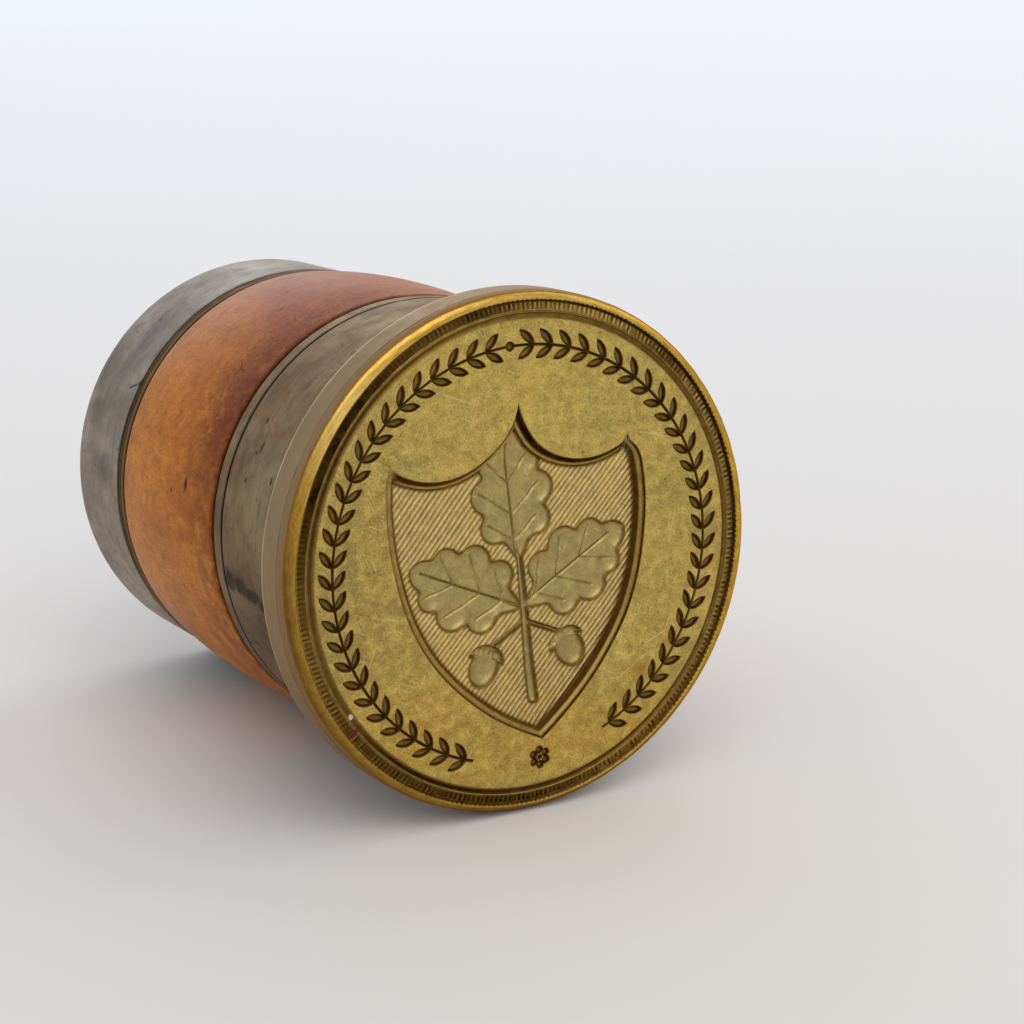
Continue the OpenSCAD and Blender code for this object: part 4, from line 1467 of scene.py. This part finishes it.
# %% [markdown]
# The holder, bush, ring and cap are turned brass under a dark patina. To the eye that is
# soft clouds, small black spots and fine turning marks, which run round the side and in
# circles on the flat ends. One function makes what they share, and each piece hands it
# another function for its own marks, because the tones and marks differ.

# %% Dark brass
# Real turning marks are finer, but these have to show in the picture. Width and depth, in mm
TURNING, TURNED_RELIEF = 0.3, 0.016


def dark_brass(name, light, dark, warm, tint, own_marks):
    """Turned brass with patina. own_marks gives the last layers, from the tree and the side."""
    material, tree, shader, place = new_material(name)
    side = unrolled(tree, place, NECK_R)
    clouds = add(tree, "TexNoise", place, 1 / 5, 4, 0.6)
    mottle = add(tree, "TexNoise", place, 1 / 1.1, 6, 0.65)
    stains = add(tree, "TexNoise", place, 1 / 2.2, 5, 0.65)
    flecks = add(tree, "TexNoise", place, 1 / 0.6, 2, 0.45)
    flat_place = add(tree, "VectorMath", place, (1, 1, 0), operation="MULTIPLY")
    from_axis = add(tree, "VectorMath", flat_place, operation="LENGTH")
    rings = add(tree, "CombineXYZ", None, None, from_axis)
    rings = add(tree, "VectorMath", side, rings, operation="ADD")
    rings = add(tree, "VectorMath", rings, (0.12, 1, 1), operation="MULTIPLY")
    turning = add(tree, "TexNoise", rings, 1 / TURNING, 4, 0.6)
    share = add(tree, "MapRange", clouds, 0.36, 0.66)
    tone = add(tree, "Mix", share, linear(light), linear(dark), data_type="RGBA")
    layers = [
        (add(tree, "MapRange", mottle, 0.5, 0.72, 0, 0.6), dark),
        (add(tree, "MapRange", stains, 0.52, 0.68, 0, 0.7), warm),
        (add(tree, "MapRange", turning, 0.55, 0.75, 0, 0.5), "#3b2f26"),
        (add(tree, "MapRange", turning, 0.45, 0.28, 0, 0.35), "#a8977a"),
        (add(tree, "MapRange", flecks, 0.7, 0.74, 0, 0.7), "#241b16"),
        # Dirt and painted shade at the joints
        (add(tree, "Attribute", out="Fac", attribute_name="dirt_and_shade"), "#120d0a"),
    ]
    for share, code in [*layers, *own_marks(tree, side)]:
        tone = add(tree, "Mix", share, tone, linear(code), data_type="RGBA")
    tree.links.new(tone, shader.inputs["Base Color"])
    shader.inputs["Metallic"].default_value = 0.75
    shader.inputs["Specular Tint"].default_value = linear(tint)
    rough = add(tree, "MapRange", mottle, 0.3, 0.7, 0.36, 0.5)
    tree.links.new(rough, shader.inputs["Roughness"])
    relief = add(tree, "Math", mottle, 1.5, operation="MULTIPLY")
    relief = add(tree, "Math", relief, turning, operation="ADD")
    relief = add(tree, "Math", relief, 0.4, operation="MULTIPLY")
    relief = add(tree, "Bump", 1, TURNED_RELIEF * MM, None, relief)
    tree.links.new(relief, shader.inputs["Normal"])
    print(material.name, "has", len(tree.nodes), "nodes")
    return material


print("turning marks of the dark brass:", TURNING, "mm")

# %% [markdown]
# The holder's neck is brown, with a greenish bloom at its front, a dark run of old grease below and
# small chips. Its flange is cleaner, and its rear edge is worn to bare brass and carries a painted
# highlight.
# Noise could scatter such marks anywhere, but these are placed one by one, so that they
# lie where they are on the real neck.

# %% Holder's brass
GREASE = (
    ((2.1, 27.6), (0.75, 0.9)),
    ((2.2, 29.2), (0.6, 1.1)),
    ((2.5, 31.0), (0.45, 1.4)),
    ((3.0, 33.0), (0.4, 1.2)),
)
CHIPS = (
    ((-9.0, 29.3), (0.22, 0.2)),
    ((-7.3, 30.3), (0.35, 0.13)),
    ((-6.8, 29.8), (0.14, 0.12)),
    ((-4.9, 29.5), (0.18, 0.14)),
    ((-5.5, 33.1), (0.3, 0.14)),
    ((6.6, 28.4), (0.16, 0.5)),
    ((6.9, 27.4), (0.14, 0.3)),
    ((4.4, 28.2), (0.1, 0.1)),
)


def holder_marks(tree, side):
    """Layers of the holder: clean flange, bloom, shade, grease, chips and the worn edge with its
    painted highlight.
    """
    height = add(tree, "SeparateXYZ", side, out="Y")
    bloom = spot(tree, ragged(tree, side, 1.5, 2.5), (-4.2, 33.0), (3.2, 3.0), 0.9, 0.35)
    shade = spot(tree, ragged(tree, side, 1.5, 2.0), (5.0, 30.5), (4.5, 4.5), 0.8, 0.5)
    torn, nicked = ragged(tree, side, 0.6, 0.8), ragged(tree, side, 0.2, 0.15)
    greasy = 0
    for centre, size in GREASE:
        run = spot(tree, torn, centre, size, 0.3)
        greasy = add(tree, "Math", greasy, run, operation="MAXIMUM")
    return [
        (add(tree, "MapRange", height, FLANGE_Z, FLANGE_Z + 0.3, 0, 0.8), "#937d5d"),
        (bloom, "#8a8765"),
        (shade, "#4c3b38"),
        (greasy, "#1a1213"),
        *[(spot(tree, nicked, centre, size, 0.4, 0.85), "#1c1513") for centre, size in CHIPS],
        # Worn edge, lighter also as a painted highlight
        (add(tree, "Attribute", out="Fac", attribute_name="wear_and_highlight"), "#d9c7a4"),
    ]


holder_tones = ("#917859", "#5e4835", "#825d38", "#e4d6c4")
holder_brass = dark_brass("holder brass, brown patina", *holder_tones, holder_marks)

# %% [markdown]
# The cap is greyer, with bluish clouds and a dark nick at its front edge. The thin ring is olive,
# with a painted highlight along its front edge. Both could have materials of their own, but the
# same function with other tones keeps the three metals related to the eye.

# %% Cap's and ring's brass
GREY_CLOUDS = (
    ((-5.2, 2.4), (0.9, 1.1)),
    ((6.2, 1.8), (1.5, 1.0)),
    ((-11.5, 4.6), (2.2, 1.0)),
    ((-1.5, 5.2), (0.8, 1.4)),
)
NICKS = (((-8.35, 7.8), (-7.8, 6.6)), ((-8.6, 7.9), (-8.1, 7.9)))


def cap_marks(tree, side):
    """Layers of the cap: grey clouds, a nick and the worn rear edge."""
    cloudy, cut = ragged(tree, side, 1.2, 1.8), ragged(tree, side, 0.4, 0.2)
    return [
        *[(spot(tree, cloudy, at, size, 0.8, 0.55), "#454248") for at, size in GREY_CLOUDS],
        *[(scratch(tree, cut, start, end, 0.13), "#2a2018") for start, end in NICKS],
        (add(tree, "Attribute", out="Fac", attribute_name="wear_and_highlight"), "#b5a27e"),
    ]


def ring_marks(tree, side):
    """The ring's one layer of its own: a light line that is a painted highlight."""
    return [(add(tree, "Attribute", out="Fac", attribute_name="wear_and_highlight"), "#a58e58")]


cap_tones = ("#9b9083", "#73695f", "#85735d", "#f1e9dd")
cap_brass = dark_brass("cap brass, grey patina", *cap_tones, cap_marks)
ring_tones = ("#5a4b2c", "#362c1b", "#4a361b", "#bfa275")
ring_brass = dark_brass("ring brass, olive patina", *ring_tones, ring_marks)

# %% [markdown]
# The grip is an old polished fruitwood, such as pear. Its grain runs along the axis, so
# the noise is stretched that way. To the eye it has soft figure of about 4 mm, streaks of
# 1 mm, fibres and pores, which are drawn coarser than real ones so that they show.

# %% Wood: grain
fruitwood, tree, shader, place = new_material("polished fruitwood")
side = unrolled(tree, place, NECK_R)
figure, pores, streaks, fibres = (
    add(
        tree,
        "TexNoise",
        add(tree, "VectorMath", where, stretch, operation="MULTIPLY"),
        1 / size,
        detail,
        rough,
    )
    for where, stretch, size, detail, rough in (
        (place, (1, 1, 0.5), 4, 5, 0.65),
        (place, (1, 1, 0.4), 0.2, 4, 0.6),
        (ragged(tree, side, 2, 1.5), (0.85, 0.75, 1), 0.9, 6, 0.65),
        (ragged(tree, side, 1, 0.5), (1.6, 0.4, 1), 0.3, 5, 0.7),
    )
)
share = add(tree, "MapRange", figure, 0.35, 0.66)
tone = add(tree, "Mix", share, linear("#c97b18"), linear("#ab5f0f"), data_type="RGBA")
layers = [
    (add(tree, "MapRange", streaks, 0.5, 0.7, 0, 0.65), "#88450f"),
    (add(tree, "MapRange", fibres, 0.55, 0.72, 0, 0.5), "#6a3510"),
    (add(tree, "MapRange", streaks, 0.44, 0.3, 0, 0.45), "#d79242"),
    (add(tree, "MapRange", pores, 0.52, 0.68, 0, 0.5), "#74400f"),
]
print("grain:", len(layers), "layers")

# %% [markdown]
# Handling has reddened the front of the grip, where fingers hold it, and left scuffs, a small dark
# knot, nicks and short cracks. The side that is on top as the seal lies is painted darker and
# redder as shade. Dirt and painted shade sit at both ends. Each is placed on the unrolled side, and
# noise tears its edges.

# %% Wood: wear and painted shade
WORN_PATCHES = (
    ((-12.5, 24.2), (8, 2.2), 0.5),
    ((-7.6, 24.2), (3.0, 0.8), 0.5),
    ((-10.6, 22.6), (1.0, 2.2), 0.4),
    ((7.6, 23.3), (2.4, 0.7), 0.5),
    ((9, 21), (3, 0.8), 0.45),
    ((-17, 20), (2.4, 1.6), 0.35),
)
KNOTS = (
    ((-3.15, 21.2), (0.42, 0.2)),
    ((-2.4, 19.1), (0.16, 0.12)),
    ((-18.8, 16.4), (0.4, 0.14)),
    ((-17.0, 19.2), (0.2, 0.1)),
    ((4.1, 19.5), (0.2, 0.08)),
)
CRACKS = (
    ((-10.2, 24.5), (-9.8, 25.1)),
    ((-16.9, 21.4), (-16.4, 22.6)),
    ((-12.0, 21.6), (-11.2, 22.8)),
    ((6.4, 21.8), (7.4, 22.9)),
    ((7.8, 20.6), (9.0, 22.2)),
)
height = add(tree, "SeparateXYZ", side, out="Y")
near_front = add(tree, "MapRange", height, BUSH_Z - 4.5, BUSH_Z - 0.5, 0, 0.75)
in_streaks = add(tree, "MapRange", streaks, 0.38, 0.62)
handled = add(tree, "Math", near_front, in_streaks, operation="MULTIPLY")
# Painted shade on the side that is on top as the seal lies: darker and redder
painted_top_shade = spot(tree, ragged(tree, side, 3, 3), (-21, 18), (7, 9), 0.7, 0.6)
scuffs = add(tree, "TexNoise", ragged(tree, side, 0.7, 0.6), 1 / 0.35, 6, 0.75)
scuffs = add(tree, "MapRange", scuffs, 0.47, 0.6)
by_fingers = spot(tree, ragged(tree, side, 2, 2.5), (-12, 23.2), (9, 3), 0.6)
scuffed = add(tree, "Math", by_fingers, scuffs, operation="MULTIPLY")
torn, nicked = ragged(tree, side, 0.8, 0.9), ragged(tree, side, 0.25, 0.15)
cracked = ragged(tree, side, 0.6, 0.8)
layers += [
    (handled, "#7c3a17"),
    (painted_top_shade, "#7e3c22"),
    *[(spot(tree, torn, at, size, 0.7, share), "#6b2c17") for at, size, share in WORN_PATCHES],
    (add(tree, "MapRange", scuffed, 0, 1, 0, 0.7), "#672c14"),
    *[(spot(tree, nicked, at, size), "#2c1711") for at, size in KNOTS],
    *[(scratch(tree, cracked, start, end, 0.1, 0.6), "#54230f") for start, end in CRACKS],
    # Dirt and painted shade at both ends
    (add(tree, "Attribute", out="Fac", attribute_name="dirt_and_shade"), "#140a06"),
]
for share, code in layers:
    tone = add(tree, "Mix", share, tone, linear(code), data_type="RGBA")
tree.links.new(tone, shader.inputs["Base Color"])
print("with the wear:", len(layers), "layers")

# %% [markdown]
# Old wax polish is dull. A clear coat would give the hard gloss of new varnish, so the
# roughness is middling and the mirror weak and warm. Streaks and pores are felt in the
# surface, and the scuffs are sunk into it.

# %% Wood: finish
shader.inputs["Roughness"].default_value = 0.42
shader.inputs["Specular IOR Level"].default_value = 0.12
shader.inputs["Specular Tint"].default_value = linear("#e0b090")
relief = add(tree, "MapRange", streaks, 0, 1, 0, 0.6)
relief = add(tree, "Math", relief, add(tree, "MapRange", pores, 0, 1, 0, 0.3), operation="ADD")
sunk = add(tree, "MapRange", scuffed, 0, 1, 0, 0.6)
relief = add(tree, "Math", relief, sunk, operation="SUBTRACT", use_clamp=True)
WOOD_RELIEF = 0.05
tree.links.new(add(tree, "Bump", 1, WOOD_RELIEF * MM, None, relief), shader.inputs["Normal"])
print(fruitwood.name, "has", len(tree.nodes), "nodes")

# %% [markdown]
# The hidden steel pieces and the leather washer come straight from the CAD, because their
# plain shapes are right already. Turned steel and oiled leather need only a little cloud
# in their colour: steel mirrors softly, and leather is dark and dull.

# %% Steel and leather
hidden = []
for name, size, dark, light, metal, rough in (
    ("plain turned steel", 1.2, "#7d7c7a", "#989795", 1, 0.4),
    ("dark oiled leather", 0.6, "#1a100b", "#2b1b12", 0, 0.85),
):
    material, tree, shader, place = new_material(name)
    share = add(tree, "MapRange", add(tree, "TexNoise", place, 1 / size, 4, 0.55), 0.35, 0.65)
    tone = add(tree, "Mix", share, linear(dark), linear(light), data_type="RGBA")
    tree.links.new(tone, shader.inputs["Base Color"])
    shader.inputs["Metallic"].default_value = metal
    shader.inputs["Roughness"].default_value = rough
    hidden.append(material)
steel, leather = hidden
print("materials for the inside:", steel.name, "and", leather.name)

# %% [markdown]
# Each real piece is made of one stuff, so each piece here gets one material. Worn edges and painted
# highlights could have faces with a material of their own, but then their border would be a hard
# line. The values on the vertices fade instead.

# %% Coat the pieces
def coat(obj, material):
    """Gives a piece one material."""
    obj.data.materials.clear()
    obj.data.materials.append(material)


for piece in die_pieces:
    coat(piece, face_brass)
for piece in (holder, bush):
    coat(piece, holder_brass)
for piece in (cap, plug):
    coat(piece, cap_brass)
for piece, material in ((ferrule, ring_brass), (wood_grip, fruitwood), (stud, steel)):
    coat(piece, material)
for name in ("lock_nut", "bush_pins", "cap_pins", "handle_screw", "screw_washer"):
    coat(frame["nodes"][name], steel)
coat(frame["nodes"]["seat_washer"], leather)
print("materials:", [m.name for m in bpy.data.materials])

# %% [markdown]
# The camera stands where the photo was taken from. It could be placed by eye, but a turned
# object shows its tilt in its circles, so its place and its three directions were fitted
# to the circles in the photo.

# %% Camera
CAMERA_AT = Vector((-76.039, 38.697, 174.615)) * MM
RIGHT = Vector((0.86862, -0.02714, 0.49474))
UP = Vector((0.13505, 0.97366, -0.1837))
BACK = Vector((-0.47672, 0.22638, 0.84941))
# Focal length and width of the picture on the sensor, in mm
LENS, SENSOR = 87.89, 36
camera_data = bpy.data.cameras.new("camera")
camera_data.lens, camera_data.sensor_width = LENS, SENSOR
camera_data.clip_start = 5 * MM
camera = bpy.data.objects.new("camera", camera_data)
camera_turn = Matrix((RIGHT, UP, BACK)).transposed().to_4x4()
camera.matrix_world = Matrix.Translation(CAMERA_AT) @ camera_turn
bpy.context.scene.collection.objects.link(camera)
bpy.context.scene.camera = camera
print("camera stands", round(CAMERA_AT.length / MM), "mm from the seal's foot")

# %% [markdown]
# The floor of the picture is white paper, which is soft and matt to the eye. The seal lies on the
# rear edge of the flange and the edge of the cap, so the floor leans by a few degrees against the
# axis. A floor along the axis would leave the cap in the air. It is a large sheet, painted a little
# darker and warmer towards the camera as a falloff of light. From below it is clear, so that views
# from that side aren't blocked.

# %% Floor
FLOOR_SIZE, FLOOR_GAP = 4, 0.02
FLOOR_LEAN = math.atan2(FLANGE_R - NECK_R, FLANGE_Z - CAP_ROUND)
floor_up = Vector((0, math.cos(FLOOR_LEAN), math.sin(FLOOR_LEAN)))
floor_point = Vector((0, -(FLANGE_R + FLOOR_GAP) * MM, (FLANGE_Z + 0.1) * MM))
ground_right = (RIGHT - floor_up * RIGHT.dot(floor_up)).normalized()
ground_near = ground_right.cross(floor_up)
clear_selection()
bpy.ops.mesh.primitive_plane_add(size=FLOOR_SIZE)
floor = bpy.context.object
floor.name = "floor"
floor_turn = Matrix((ground_right, -ground_near, floor_up)).transposed().to_4x4()
floor.matrix_world = Matrix.Translation(floor_point) @ floor_turn
paper, tree, shader, place = new_material("white paper ground")
# Painted falloff of light: darker and warmer towards the camera
far_share = add(tree, "MapRange", add(tree, "SeparateXYZ", place, out="Y"), -80, 300)
tone = add(tree, "Mix", far_share, linear("#ded9d4"), linear("#ebebec"), data_type="RGBA")
tree.links.new(tone, shader.inputs["Base Color"])
shader.inputs["Roughness"].default_value = 0.9
shader.inputs["Specular IOR Level"].default_value = 0.1
clear = add(tree, "BsdfTransparent")
underside = add(tree, "NewGeometry", out="Backfacing")
both = add(tree, "MixShader", underside, shader.outputs["BSDF"], clear)
tree.links.new(both, tree.nodes["Material Output"].inputs["Surface"])
coat(floor, paper)
print("floor leans", round(math.degrees(FLOOR_LEAN), 2), "degrees")

# %% [markdown]
# The light is a bright, even room with large soft lights: windows far behind the lying
# seal, one light at the right, one in front, one above and bluish ones at the left. A
# single strong lamp would give hard glints that the real seal doesn't show. Directions
# are given as the photo sees them: right, up and towards the camera, in metres.

# %% Light
SEAL_MIDDLE = Vector((0, 0, 0.02))
# Name, right, up, towards the camera, width, power and colour
LIGHTS = (
    ("window", 0.0, 0.35, -1.1, 0.8, 0.3, "#ffffff"),
    ("high_window", 0.0, 0.65, -1.0, 0.8, 0.9, "#ffffff"),
    ("back_left", -0.35, 0.3, -1.0, 0.6, 1.2, "#d8e6ff"),
    ("right_back", 0.5, 0.6, -0.6, 0.8, 1.5, "#fffaf4"),
    ("front", 0.2, 0.7, 0.6, 0.8, 2.6, "#fffaf2"),
    ("above", 0.15, 1.1, 0.3, 0.8, 0.8, "#fff6ea"),
    ("left", -0.9, 0.4, -0.3, 0.6, 0.5, "#cfe0ff"),
)
for name, right, up, near, size, power, code in LIGHTS:
    data = bpy.data.lights.new(name, "AREA")
    data.size, data.energy, data.color = size, power, linear(code)[:3]
    lamp = bpy.data.objects.new(name, data)
    at = SEAL_MIDDLE + ground_right * right + floor_up * up + ground_near * near
    facing = (at - SEAL_MIDDLE).to_track_quat("Z", "Y").to_matrix().to_4x4()
    lamp.matrix_world = Matrix.Translation(at) @ facing
    bpy.context.scene.collection.objects.link(lamp)

world = bpy.data.worlds.new("room")
bpy.context.scene.world = world
world.use_nodes = True
room = world.node_tree.nodes["Background"]
room.inputs["Color"].default_value = linear("#f5f9ff")
room.inputs["Strength"].default_value = 0.69
bpy.context.scene.view_settings.view_transform = "Standard"
print(len(LIGHTS), "lights")
